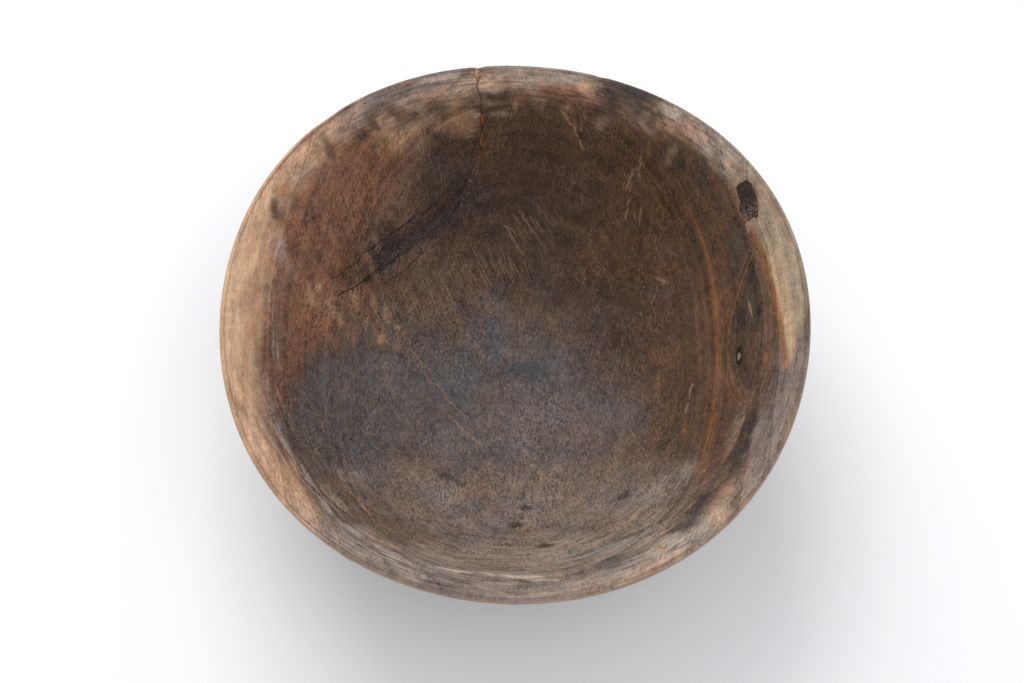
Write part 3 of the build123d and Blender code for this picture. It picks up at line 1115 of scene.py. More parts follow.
    def build(self) -> bpy.types.Material:
        """The finish as a material."""
        sheet = NodeSheet("carved_wood")
        place = sheet.object_place
        radius = self.ring_radius(sheet)
        wide_rings = sheet.noise_along(radius, 150, 3)
        fine_rings = sheet.noise_along(radius, 700, 2)
        sway = sheet.add("ShaderNodeTexNoise")
        sheet.feed(sway.inputs["Vector"], place)
        sway.inputs["Scale"].default_value = 60
        swayed = sheet.vector("ADD", place, sheet.vector("SCALE", sway.outputs["Color"],
                                                        scale=0.006))
        grain = sheet.mapped(swayed, (self.fibre_width, self.fibre_length, self.fibre_width))
        fibre = sheet.noise(grain, 1.0, 4, 0.7)
        fleck = sheet.noise(sheet.mapped(swayed, (0.7 * MM, 2.6 * MM, 0.9 * MM)), 1.0, 2, 0.6)
        pore = sheet.noise(sheet.mapped(swayed, (0.5 * MM, 3.4 * MM, 0.6 * MM)), 1.0, 1, 0.5)
        gentle = sheet.vector("ADD", place, sheet.vector("SCALE", sway.outputs["Color"],
                                                         scale=0.0025))
        cloud = sheet.noise(place, 60, 5, 0.7)
        mottle = sheet.noise(swayed, 210, 4, 0.7)

        fuzz = sheet.attribute("fuzz")
        around = self.rubbed_streaks(sheet)
        ringed = sheet.attribute("rings")
        level = sheet.math("MULTIPLY_ADD", sheet.math("SUBTRACT", wide_rings, 0.5),
                           sheet.math("MULTIPLY", ringed, 1.1), 1.16)
        fine = sheet.math("MULTIPLY", sheet.math("SUBTRACT", fine_rings, 0.5), ringed)
        level = sheet.math("MULTIPLY_ADD", fine, 0.7, level)
        for part, weight in ((fibre, 2.3), (cloud, 1.3), (mottle, 1.4)):
            off = sheet.math("SUBTRACT", part, 0.5)
            level = sheet.math("MULTIPLY_ADD", off, weight, level)
        off = sheet.math("MULTIPLY", sheet.math("SUBTRACT", around, 0.5), 2.6)
        level = sheet.math("MULTIPLY_ADD", off, sheet.attribute("rubbed"), level)
        flat = sheet.vector("LENGTH", sheet.mapped(gentle, (1, 1, 1e6), 0, (0.004, -0.006, 0)))
        turned = sheet.math("SUBTRACT", sheet.noise_along(flat, 420, 3), 0.5)
        floor = sheet.range(sheet.attribute("from_rim"), 0.055, 0.085)
        turned = sheet.math("MULTIPLY", turned, sheet.range(cloud, 0.4, 0.6, 0.2, 0.8))
        level = sheet.math("MULTIPLY_ADD", turned, floor, level)
        grit = sheet.math("SUBTRACT", sheet.noise(place, 1000, 1, 0.5), 0.5)
        level = sheet.math("MULTIPLY_ADD", grit, sheet.math("MULTIPLY", fuzz, 1.6), level)
        level = sheet.math("SUBTRACT", level, 1.16)
        level = sheet.math("MULTIPLY_ADD", level, sheet.attribute("lively"), 1.16)
        tint = sheet.attribute("tint", colour=True)
        tint = self.with_almond(sheet, tint, mottle)
        tint = self.with_sapwood(sheet, tint, radius, fibre)
        colour = sheet.vector("SCALE", tint, scale=sheet.math("MAXIMUM", level, 0.3))

        clean = sheet.math("SUBTRACT", 1.0, sheet.math("MULTIPLY", sheet.attribute("sap"), 0.6))
        hairs = self.hairs(sheet, gentle, (12 * MM, 8 * MM, 5.5 * MM, 4 * MM))
        hairs = sheet.math("MULTIPLY", hairs, sheet.range(cloud, 0.40, 0.60, 0.15, 1.0))
        pale = sheet.math("MAXIMUM", sheet.range(fleck, 0.57, 0.68), hairs)
        pale = sheet.math("MULTIPLY", pale, sheet.math("MULTIPLY", fuzz, clean))
        ochre = sheet.mix(0.5, sheet.vector("SCALE", tint, scale=2.2), Tone.TAN.linear * 0.7)
        colour = sheet.mix(pale, colour, ochre)
        nicks = self.hairs(sheet, gentle, (9 * MM, 4.6 * MM, 3.4 * MM))
        pores = sheet.math("MAXIMUM", sheet.range(pore, 0.40, 0.28), nicks)
        pores = sheet.math("MULTIPLY", sheet.math("MULTIPLY", pores, 0.75), fuzz)
        pores = sheet.math("MULTIPLY", pores, clean)
        pores = sheet.math("MULTIPLY", pores, sheet.range(sheet.attribute("from_rim"),
                                                          0.014, 0.028, 0.45, 1.0))
        colour = sheet.mix(pores, colour, sheet.vector("SCALE", tint, scale=0.38))

        # Painted highlights: the stored glint share, broken up by flecks and by streaks along the
        # rim, mixes in pale lilac.
        glint = sheet.math("MULTIPLY_ADD", sheet.math("SUBTRACT", fleck, 0.5), 0.5, around)
        glint = sheet.math("MULTIPLY", sheet.range(glint, 0.52, 0.66), sheet.attribute("painted_glint"))
        colour = sheet.mix(sheet.math("MULTIPLY", glint, 0.8), colour, self.glint_tone())

        lines = sheet.math("MULTIPLY", self.scratches(sheet), 0.75)
        lines = sheet.math("MAXIMUM", lines, self.stroke(sheet, "mark"))
        broken = sheet.range(sheet.noise(place, 420, 1), 0.28, 0.5)
        lines = sheet.math("MULTIPLY", lines, broken)
        lines = sheet.math("MULTIPLY", lines, sheet.attribute("inside"))
        colour = sheet.mix(sheet.math("MULTIPLY", lines, 0.75), colour, Tone.TAN.linear * 0.75)

        folds = sheet.math("MULTIPLY", self.stroke(sheet, "crease"), sheet.attribute("inside"))
        folds = sheet.math("MULTIPLY", folds, sheet.range(cloud, 0.36, 0.56, 0.3, 0.8))
        colour = sheet.mix(folds, colour, Tone.BLACKENED.linear * 0.55)
        colour = self.with_edge(sheet, colour, mottle)
        crack = sheet.attribute("crack")
        edge = sheet.math("MULTIPLY", sheet.range(crack, 0.08, 0.3),
                          sheet.range(mottle, 0.40, 0.56, 0.1, 0.7))
        colour = sheet.mix(edge, colour, Tone.TAN.linear * 0.6)
        core = sheet.math("MULTIPLY", sheet.range(crack, 0.28, 0.7),
                          sheet.range(cloud, 0.35, 0.6, 0.95, 0.7))
        colour = sheet.mix(core, colour, Tone.BLACKENED.linear * 0.4)

        rough = sheet.math("MULTIPLY_ADD", sheet.math("SUBTRACT", fibre, 0.5), 0.4,
                           sheet.attribute("roughness"))
        height = sheet.math("MULTIPLY_ADD", fibre, 0.7, sheet.math("MULTIPLY", fine_rings, 0.3))
        height = sheet.math("MULTIPLY_ADD", mottle, 0.5, height)
        height = sheet.math("MULTIPLY_ADD", pores, -0.6, height)
        height = sheet.math("MULTIPLY_ADD", lines, -0.5, height)
        normal = sheet.bump(height, 0.5 * MM, 0.9)
        return sheet.finish(colour, rough, normal)

    def stroke(self, sheet: NodeSheet, name: str) -> bpy.types.NodeSocket:
        """The share of a stored stroke: 1 along its middle, fading over its half width."""
        off = sheet.math("ABSOLUTE", sheet.attribute(name))
        return sheet.math("MULTIPLY", sheet.range(off, 1.0, 0.4),
                          sheet.attribute(f"{name}_near"))

    def rubbed_streaks(self, sheet: NodeSheet) -> bpy.types.NodeSocket:
        """Noise drawn out along the rim: fine across the wall, long around it."""
        split = sheet.add("ShaderNodeSeparateXYZ")
        sheet.feed(split.inputs[0], sheet.object_place)
        joined = sheet.add("ShaderNodeCombineXYZ")
        sheet.feed(joined.inputs["X"], split.outputs["X"])
        sheet.feed(joined.inputs["Y"], split.outputs["Y"])
        sheet.feed(joined.inputs["Z"], sheet.attribute("from_rim"))
        stretched = sheet.mapped(joined.outputs[0], (26 * MM, 26 * MM, 1.5 * MM))
        return sheet.noise(stretched, 1.0, 4, 0.62)

    def with_edge(self, sheet: NodeSheet, colour: bpy.types.NodeSocket,
                  mottle: bpy.types.NodeSocket) -> bpy.types.NodeSocket:
        """The lip's outer edge rubbed pale, and a broken dark line just inside it."""
        inset = sheet.attribute("from_rim")
        wavy = sheet.math("MULTIPLY_ADD", sheet.math("SUBTRACT", mottle, 0.5), 3 * MM, inset)
        dark = sheet.math("ABSOLUTE", sheet.math("SUBTRACT", wavy, 3.2 * MM))
        dark = sheet.math("MULTIPLY", sheet.range(dark, 1.0 * MM, 0.2 * MM), 0.35)
        colour = sheet.mix(dark, colour, Tone.UMBER.linear)
        pale = sheet.math("MULTIPLY", sheet.range(wavy, 1.5 * MM, 0.5 * MM), 0.55)
        return sheet.mix(pale, colour, Tone.EDGE.linear)

    def with_sapwood(self, sheet: NodeSheet, tint: bpy.types.NodeSocket,
                     radius: bpy.types.NodeSocket, fibre: bpy.types.NodeSocket
                     ) -> bpy.types.NodeSocket:
        """Pale sapwood outside a ring, an orange band along it and a thin orange ring.

        Args:
            sheet: the material's node sheet.
            tint: the wood's own colour.
            radius: distance from the pith.
            fibre: noise along the grain.
        Returns:
            The colour with sapwood.
        """
        amount = sheet.attribute("sap")
        edge = self.leaning(sheet, radius, self.sap_lean)
        band = sheet.math("MULTIPLY", sheet.range(edge, self.sap_ring - 7 * MM,
                                                  self.sap_ring), amount)
        band = sheet.math("POWER", band, 1.6)
        tint = sheet.mix(sheet.math("MULTIPLY", band, 0.85), tint, Tone.AMBER.linear)
        split = sheet.add("ShaderNodeSeparateXYZ")
        sheet.feed(split.inputs[0], sheet.object_place)
        outer = sheet.range(edge, self.sap_ring + 3 * MM, self.sap_ring + 17 * MM)
        outer = sheet.math("MAXIMUM", outer, sheet.range(split.outputs["Y"], 30 * MM, 75 * MM))
        pale = sheet.mix(outer, Tone.CREAM.linear, Tone.TAUPE.linear)
        pale = sheet.mix(sheet.range(fibre, 0.40, 0.62), pale, Tone.BONE.linear, "MULTIPLY")
        pale = sheet.mix(0.2, pale, Tone.CREAM.linear)
        share = sheet.math("MULTIPLY", sheet.range(edge, self.sap_ring - 0.5 * MM,
                                                   self.sap_ring + 2 * MM), amount)
        tint = sheet.mix(share, tint, pale)
        line = self.leaning(sheet, radius, self.line_lean)
        off = sheet.math("ABSOLUTE", sheet.math("SUBTRACT", line, self.line_ring))
        thin = sheet.math("MULTIPLY", sheet.range(off, 3.4 * MM, 0.2 * MM),
                          sheet.attribute("streak"))
        thin = sheet.math("MULTIPLY", thin, sheet.range(sheet.noise_along(line, 1500, 2),
                                                        0.35, 0.6, 0.4, 0.9))
        return sheet.mix(thin, tint, Tone.AMBER.linear * 0.8)

    def with_almond(self, sheet: NodeSheet, tint: bpy.types.NodeSocket,
                    mottle: bpy.types.NodeSocket) -> bpy.types.NodeSocket:
        """The pointed-oval figure round the buried branch in the right wall.

        Seen from above, the figure's measure is the offset across its axis over its half
        width, plus the square of the offset along it over its half length: 1 on its outline.
        """
        split = sheet.add("ShaderNodeSeparateXYZ")
        sheet.feed(split.inputs[0], sheet.object_place)
        x, y = split.outputs["X"], split.outputs["Y"]
        axis = sheet.math("MULTIPLY_ADD", y, 0.085, self.almond_x)
        away = sheet.math("ABSOLUTE", sheet.math("SUBTRACT", x, axis))
        across = sheet.math("DIVIDE", away, self.almond_half_width)
        along = sheet.math("POWER", sheet.math("DIVIDE", y, self.almond_half_length), 2.0)
        ring = sheet.math("ADD", across, along)
        ring = sheet.math("MULTIPLY_ADD", sheet.math("SUBTRACT", mottle, 0.5), 0.35, ring)
        fine = sheet.range(sheet.noise_along(ring, 9, 3), 0.3, 0.7, 0.75, 1.3)
        inner = sheet.math("MULTIPLY", sheet.range(ring, 1.8, 1.2), sheet.attribute("inside"))
        lined = sheet.vector("SCALE", tint, scale=fine)
        tint = sheet.mix(inner, tint, lined)
        for at, strength in ((1.0, 0.5), (1.32, 0.3), (0.72, 0.15)):
            off = sheet.math("ABSOLUTE", sheet.math("SUBTRACT", ring, at))
            line = sheet.math("MULTIPLY", sheet.range(off, 0.11, 0.02), strength)
            line = sheet.math("MULTIPLY", line, inner)
            tint = sheet.mix(line, tint, Tone.AMBER.linear * 0.85)
        return tint


@dataclass(frozen=True)
class StreakedWood:
    """Wood of a small piece: one tone streaked with another along the grain."""

    name: str
    tone: Tone
    streak: Tone
    streak_width: float = 0.7 * MM
    streak_length: float = 6 * MM
    roughness: float = 0.7
    dark: float = 1.0
    far_dark: float = 0.0
    wisps: bool = False

    def build(self) -> bpy.types.Material:
        """The finish as a material."""
        sheet = NodeSheet(self.name)
        size = (self.streak_width, self.streak_length, self.streak_width)
        streaks = sheet.noise(sheet.mapped(sheet.object_place, size), 1.0, 4, 0.65)
        share = sheet.range(streaks, 0.4, 0.65)
        colour = sheet.mix(share, self.tone.linear * self.dark, self.streak.linear * self.dark)
        if self.far_dark:
            split = sheet.add("ShaderNodeSeparateXYZ")
            sheet.feed(split.inputs[0], sheet.object_place)
            drop = sheet.range(split.outputs["X"], 0.0, 0.1, 1.0, self.far_dark)
            colour = sheet.vector("SCALE", colour, scale=drop)
        if self.wisps:
            off = sheet.noise(sheet.mapped(sheet.object_place, (2.4 * MM,) * 3), 1.0, 2, 0.6)
            off = sheet.math("ABSOLUTE", sheet.math("SUBTRACT", off, 0.5))
            split = sheet.add("ShaderNodeSeparateXYZ")
            sheet.feed(split.inputs[0], sheet.object_place)
            low = sheet.range(split.outputs["Y"], 92 * MM, 80 * MM)
            line = sheet.math("MULTIPLY", sheet.range(off, 0.045, 0.01), low)
            colour = sheet.mix(sheet.math("MULTIPLY", line, 0.8), colour, Tone.TAUPE.linear)
        rough = sheet.math("MULTIPLY_ADD", streaks, 0.25, self.roughness - 0.12)
        return sheet.finish(colour, rough, sheet.bump(streaks, 0.4 * MM, 0.9))


@dataclass(frozen=True)
class RingedKnot:
    """A small sound knot: a brown ring round a pale heart."""

    centre: tuple[float, float, float]
    ring: float = 2.3 * MM

    def build(self) -> bpy.types.Material:
        """The finish as a material."""
        sheet = NodeSheet("lip_knot_wood")
        rough = sheet.noise(sheet.object_place, 420, 3, 0.6)
        away = sheet.vector("DISTANCE", sheet.object_place, self.centre)
        away = sheet.math("MULTIPLY_ADD", sheet.math("SUBTRACT", rough, 0.5), 2.6 * MM, away)
        off = sheet.math("ABSOLUTE", sheet.math("SUBTRACT", away, self.ring))
        share = sheet.range(off, 0.9 * MM, 0.2 * MM)
        pale = sheet.mix(sheet.range(rough, 0.4, 0.6), Tone.ROSE_GREY.linear, Tone.TAN.linear)
        colour = sheet.mix(sheet.math("MULTIPLY", share, 0.85), pale, Tone.AMBER.linear * 0.8)
        return sheet.finish(colour, 0.7, sheet.bump(rough, 0.4 * MM, 0.8))


@dataclass(frozen=True)
class DriedGum:
    """Orange-brown gum that has set in the crack."""

    name: str = "dried_gum"
    pale: tuple[float, float, float] = (198, 112, 58)
    deep: tuple[float, float, float] = (112, 62, 32)
    dull: tuple[float, float, float] = (138, 100, 68)

    def build(self) -> bpy.types.Material:
        """The finish as a material."""
        sheet = NodeSheet(self.name)
        clouds = sheet.noise(sheet.object_place, 380, 3, 0.6)
        share = sheet.range(clouds, 0.35, 0.62)
        colour = sheet.mix(share, linear_light(self.deep), linear_light(self.pale))
        split = sheet.add("ShaderNodeSeparateXYZ")
        sheet.feed(split.inputs[0], sheet.object_place)
        low = sheet.range(split.outputs["Y"], 156 * MM, 150 * MM)
        colour = sheet.mix(sheet.math("MULTIPLY", low, 0.85), colour, linear_light(self.dull))
        rough = sheet.math("MULTIPLY_ADD", clouds, 0.4, 0.25)
        return sheet.finish(colour, rough, sheet.bump(clouds, 0.3 * MM, 0.8))


# -------------------------------------------------------------------------- the carved body


@dataclass
class BowlShell:
    """The carved body: one closed skin over the inside, the lip, the outside and the foot."""

    carving: Carving
    relief: Relief
    columns: int = 436
    inside_rows: int = 144
    bevel_rows: int = 24
    outside_rows: int = 46
    foot_rows: int = 6
    ridge_soft: float = 20 * MM
    ridge_crisp: float = 11 * MM
    pockets: list[Pocket] = field(default_factory=list)

    def angles(self) -> Array:
        """Column angles: even, but drawn together at the crack and at the knots.

        The angles share out equal parts of a density: 1, plus a tall bell at the crack, plus
        a wide bell at the knots.
        """
        fine = np.linspace(-82.0, 278.0, 7201)
        density = 1.0 + 4.5 * hump(turn_between(fine, 98.3), 2.2)
        density += 1.2 * hump(turn_between(fine, 18.0), 24.0)
        share = np.concatenate([[0.0], np.cumsum(0.5 * (density[1:] + density[:-1]))])
        steps = np.arange(self.columns) / self.columns
        return np.interp(steps, share / share[-1], fine)

    def softness(self, angle: Array) -> Array:
        """How soft the lip's inner ridge is: crisp at the lower left, soft elsewhere."""
        crisp = hump(turn_between(angle, 232.0), 38.0)
        return self.ridge_soft + (self.ridge_crisp - self.ridge_soft) * crisp

    def inner_radii(self) -> Array:
        """Mean radii of the inside's rings, evenly spaced along the wall's curve."""
        c = self.carving
        fine = np.linspace(0.0, c.ridge_radius, 2000)
        run = np.hypot(np.diff(fine), np.diff(c.wall_height(fine)))
        length = np.concatenate([[0.0], np.cumsum(run)])
        steps = np.arange(1, self.inside_rows + 1) / self.inside_rows
        wall = np.interp(steps * length[-1], length, fine)
        bevel = np.linspace(c.ridge_radius, c.rim_radius - c.lip_edge, self.bevel_rows + 1)
        return np.concatenate([wall, bevel[1:]])

    def inside_surface(self, radius: Array, angle: Array) -> Array:
        """Points of the inner surface, relief included.

        The smooth form's point is moved along the profile's normal, which leans inwards by
        the slope: minus its sine along the radius, and its cosine up.
        """
        c = self.carving
        soft = self.softness(angle)
        height = c.inner_height(radius, angle, soft)
        step = 0.5 * MM
        rise = c.inner_height(radius + step, angle, soft)
        rise = rise - c.inner_height(radius - step, angle, soft)
        slope = np.arctan(rise / (2 * step))
        points = c.placed(radius, angle, height)
        lift = self.relief.inside(points, radius, angle)
        for pocket in self.pockets:
            lift = lift - pocket.sink(points)
        turns = np.radians(angle)
        normal = np.stack([-np.sin(slope) * np.cos(turns), -np.sin(slope) * np.sin(turns),
                           np.cos(slope)], axis=-1)
        return points + normal * lift[..., None]

    def lip_surface(self, angle: Array) -> tuple[Array, Array]:
        """Rings over the lip's flat edge, with their mean radii.

        The edge is a quarter turn each way of a flattened oval between the inner slope and
        the outer wall.
        """
        c = self.carving
        shares = np.array([0.25, 0.5, 0.75, 0.92, 1.0])[:, None]
        radius = c.rim_radius - c.lip_edge * (1.0 - shares)
        drop = 1.4 * MM * shares**4
        radius, around = np.broadcast_arrays(radius, angle[None, :])
        return c.placed(radius, around, c.height - drop), radius

    def outside_surface(self, angle: Array) -> tuple[Array, Array]:
        """Rings down the outside to the foot's edge, relief included, with their shares."""
        c = self.carving
        shares = np.linspace(0.985, 0.0, self.outside_rows)[:, None]
        radius = c.foot_radius + (c.rim_radius - c.foot_radius) * shares
        height = c.outer_height(shares)
        radius, height, around = np.broadcast_arrays(radius, height, angle[None, :])
        points = c.placed(radius, around, height)
        blend = c.outside_blend()
        run = c.rim_radius - c.foot_radius
        slope = np.arctan(c.height * (blend + 2 * (1 - blend) * shares) / run)
        fade = ease(shares, 0.0, 0.12) * (1.0 - 0.8 * ease(shares, 0.93, 0.985))
        lift = self.relief.outside(points, height, around) * fade
        turns = np.radians(around)
        out, up = np.sin(slope) * np.ones_like(turns), -np.cos(slope) * np.ones_like(turns)
        normal = np.stack([out * np.cos(turns), out * np.sin(turns), up], axis=-1)
        return points + normal * lift[..., None], radius

    def build(self) -> bpy.types.Object:
        """The body as one mesh with its stored colours."""
        c = self.carving
        angle = self.angles()
        radii = self.inner_radii()
        inner_radius, inner_angle = np.broadcast_arrays(radii[:, None], angle[None, :])
        inner = self.inside_surface(inner_radius, inner_angle)
        lip, lip_radius = self.lip_surface(angle)
        sink = self.relief.lip(lip, np.broadcast_to(angle, lip.shape[:2]))
        lip[..., 2] += sink
        near = ease(inner_radius, c.rim_radius - 14 * MM, c.rim_radius - c.lip_edge)
        inner[..., 2] += near * sink[0]
        outer, outer_radius = self.outside_surface(angle)
        near_lip = ease(outer[..., 2], c.height - 16 * MM, c.height)
        outer[..., 2] += near_lip * sink[-1]
        foot_radius = np.linspace(c.foot_radius, 0.0, self.foot_rows + 1)[1:-1]
        foot_radius, foot_angle = np.broadcast_arrays(foot_radius[:, None], angle[None, :])
        foot = c.placed(foot_radius, foot_angle, 0.0)
        rows = np.concatenate([inner, lip, outer, foot])
        floor_point = np.array([0.0, 0.0, c.base])
        piece = closed_mesh("carved_body", rows, floor_point, np.zeros(3))
        counts = [part.shape[0] for part in (inner, lip, outer, foot)]
        mean = np.concatenate([inner_radius, lip_radius, outer_radius, foot_radius])
        self.dress(piece, rows, mean, angle, counts)
        return piece

    def dress(self, piece: bpy.types.Object, rows: Array, mean: Array, angle: Array,
              counts: list[int]) -> None:
        """Stores the wood's tint and wear on the mesh, with painted light in the tint and a share
        for painted highlights.

        Args:
            piece: the body.
            rows: its points by ring and column.
            mean: mean radius of each point.
            angle: angle of each column.
            counts: rings inside, over the lip, outside and under the foot.
        """
        top = counts[0] + counts[1]
        around = np.broadcast_to(angle, rows.shape[:2])
        blot = SolidNoise(31)
        warp = np.stack([blot.layered(rows + shift, 30 * MM) - 0.5 for shift in (0, 1, 2)], -1)
        fray = np.stack([blot.layered(rows + shift, 7 * MM) - 0.5 for shift in (2, 3, 4)], -1)
        warp = warp + 0.35 * fray
        x = rows[..., 0] / MM + 22 * warp[..., 0]
        y = rows[..., 1] / MM + 30 * warp[..., 1]
        inset = (self.carving.rim_radius - mean) / MM + 14 * warp[..., 2]
        swept = around + 7 * warp[..., 1]
        base = np.broadcast_to(Tone.HEART.linear, rows.shape)
        tint = np.array(base)
        upper = slice(0, top)
        args = (x[upper], y[upper], swept[upper], inset[upper])
        # These stains carry painted light: sky reflection on the floor, the near wall lighter and
        # the far wall darker.
        tint[upper] = painted(INSIDE_STAINS + LIP_STAINS, base[upper], *args)
        spot_x = rows[..., 0] / MM + 5 * fray[..., 0]
        spot_y = rows[..., 1] / MM + 5 * fray[..., 1]
        args = (spot_x[upper], spot_y[upper], around[upper], inset[upper])
        tint[upper] = painted(small_stains(), tint[upper], *args)
        blotches = SolidNoise(37).layered(rows, 26 * MM, 4)
        patches = SolidNoise(43).layered(rows, 11 * MM, 3)
        bent_x = rows[..., 0] + 4 * MM * fray[..., 0]
        bent_y = rows[..., 1] + 4 * MM * fray[..., 1]
        valley = VALLEY.distance(bent_x, bent_y)
        side = SIDE_CREASE.distance(bent_x, bent_y)
        dark = 0.7 * hump(valley, 2.6 * MM) + 0.5 * hump(side, 2.2 * MM)
        dark = np.clip(dark + 0.5 * hump(valley, 13 * MM), 0, 1)
        dark = (dark * ease(rows[..., 0], -122 * MM, -90 * MM))[..., None]
        dark[top:] = 0.0
        tint += (Tone.BLACKENED.linear - tint) * dark * 0.85
        lower = slice(top, None)
        args = (x[lower], y[lower], swept[lower], inset[lower])
        tint[lower] = painted(OUTSIDE_STAINS, base[lower], *args)
        tint *= (0.62 + 0.5 * blotches + 0.26 * patches)[..., None]
        cool = (blotches - patches)[..., None] * (0.4 + 0.6 * ease(inset, 14, 34))[..., None]
        tint *= 1.0 + cool * np.array([-0.25, 0.0, 0.3])

        crack = self.relief.crack_gap(rows[..., 0], rows[..., 1]) ** 2
        crack[top:] *= ease(rows[top:, :, 2], 0.112, 0.124)
        flat_args = (x, y, around, inset)
        scratched = np.max([s.cover(*flat_args) for s in SCRATCHED], axis=0)
        scratched[top:] = 0.0
        # Share of painted highlights on the inside.
        painted_glint = np.max([s.cover(x, y, swept, inset) for s in PAINTED_GLINTS], axis=0)
        painted_glint[top:] = 0.0
        inside = np.zeros(rows.shape[:2])
        inside[upper] = 1.0
        straight_x, straight_y = rows[..., 0], rows[..., 1]
        greyed = straight_y - 2.5 * (straight_x - 0.177) + 20 * MM * warp[..., 1]
        sap = ease(straight_x, 0.10, 0.13) * ease(-straight_y, -0.14, -0.055)
        sap = sap * ease(greyed, -0.056, -0.036)
        rings = 0.25 + 0.75 * ease(mean, 0.09, 0.15)
        from_rim = self.carving.rim_radius - mean
        from_rim[top:] = 1.0
        near_side = ease(-straight_y, 0.0, 0.06) * inside
        rubbed = np.maximum(ease(-from_rim, -0.030, -0.020), near_side * ease(mean, 0.10, 0.15))
        rubbed *= 1.0 - 0.8 * hump(turn_between(around, 178.0), 36.0)
        rubbed *= 1.0 - 0.7 * sap
        rubbed[top:] = 0.0
        streak = ease(straight_x, 0.06, 0.10) * ease(-straight_y, -0.11, -0.07)
        streak = streak * ease(straight_y, -0.12, -0.08) * inside
        fuzz = 0.55 + 0.4 * ease(SolidNoise(47).layered(rows, 30 * MM), 0.35, 0.65)
        fuzz = fuzz * (0.45 + 0.55 * ease(from_rim, 0.016, 0.028))
        furred = hump(np.hypot(straight_x + 0.112, straight_y - 0.092), 60 * MM)
        fuzz = fuzz + 0.55 * furred * ease(from_rim, 0.02, 0.04)
        fuzz = fuzz + 0.3 * ease(-straight_y, -0.02, 0.09) * ease(from_rim, 0.02, 0.05)
        rough = 0.62 - 0.12 * ease(mean, 0.165, 0.19)

        lively = 1.0 - 0.45 * hump(turn_between(around, 184.0), 40.0) * ease(-from_rim, -0.03, -0.02)
        mark, mark_near = stroke_fields(MARKS, spot_x, spot_y)
        crease, crease_near = stroke_fields(CREASES, spot_x, spot_y)

        ends = {"tint": (tint[0].mean(0), tint[-1].mean(0)), "crack": (0, 0),
                "scratched": (0, 0), "inside": (1, 0), "fuzz": (0.4, 0.4),
                "roughness": (0.6, 0.6), "sap": (0, 0), "painted_glint": (0, 0),
                "rings": (0.25, 0.25), "streak": (0, 0), "from_rim": (0.2, 1.0),
                "rubbed": (0, 0), "mark": (9, 9), "mark_near": (0, 0),
                "crease": (9, 9), "crease_near": (0, 0), "lively": (1, 1)}
        fields = {"tint": tint, "crack": crack, "scratched": scratched, "inside": inside,
                  "fuzz": fuzz, "roughness": rough, "sap": sap, "painted_glint": painted_glint,
                  "rings": rings, "streak": streak, "from_rim": from_rim,
                  "rubbed": rubbed, "mark": mark, "mark_near": mark_near,
                  "crease": crease, "crease_near": crease_near, "lively": lively}
        for name, values in fields.items():
            width = 3 if values.ndim == 3 else 1
            flat = values.reshape(-1, width)
            tail = np.array(ends[name], float).reshape(2, width)
            joined = np.concatenate([flat, tail])
            set_numbers(piece, name, joined if width == 3 else joined[:, 0])


# ---------------------------------------------------------------------- pieces let into it


class Shape(Enum):
    """Outlines of the pieces let into the wall."""

    OVAL = "oval"
    BLOCK = "rounded block"
    DART = "pointed wedge"
    SPLINTER = "pointed at both ends"
    STRIP = "narrow strip"

    def outline(self, turn: Array) -> tuple[Array, Array]:
        """Unit outline: from -1 to 1 along the piece and across it.

        Each is a circle whose cosine and sine are raised to a power with their sign kept,
        so that it grows squarer or more pointed. The wedge narrows by the sine of half the
        turn towards its point.
        """
        c, s = np.cos(turn), np.sin(turn)
        if self is Shape.BLOCK:
            return np.sign(c) * np.abs(c) ** 0.55, np.sign(s) * np.abs(s) ** 0.55
        if self is Shape.DART:
            return c, s * np.abs(np.sin(turn / 2)) * 1.3
        if self is Shape.SPLINTER:
            return c, s * np.abs(s) ** 0.6
        if self is Shape.STRIP:
            return np.sign(c) * np.abs(c) ** 0.3, np.sign(s) * np.abs(s) ** 0.6
        return c, s


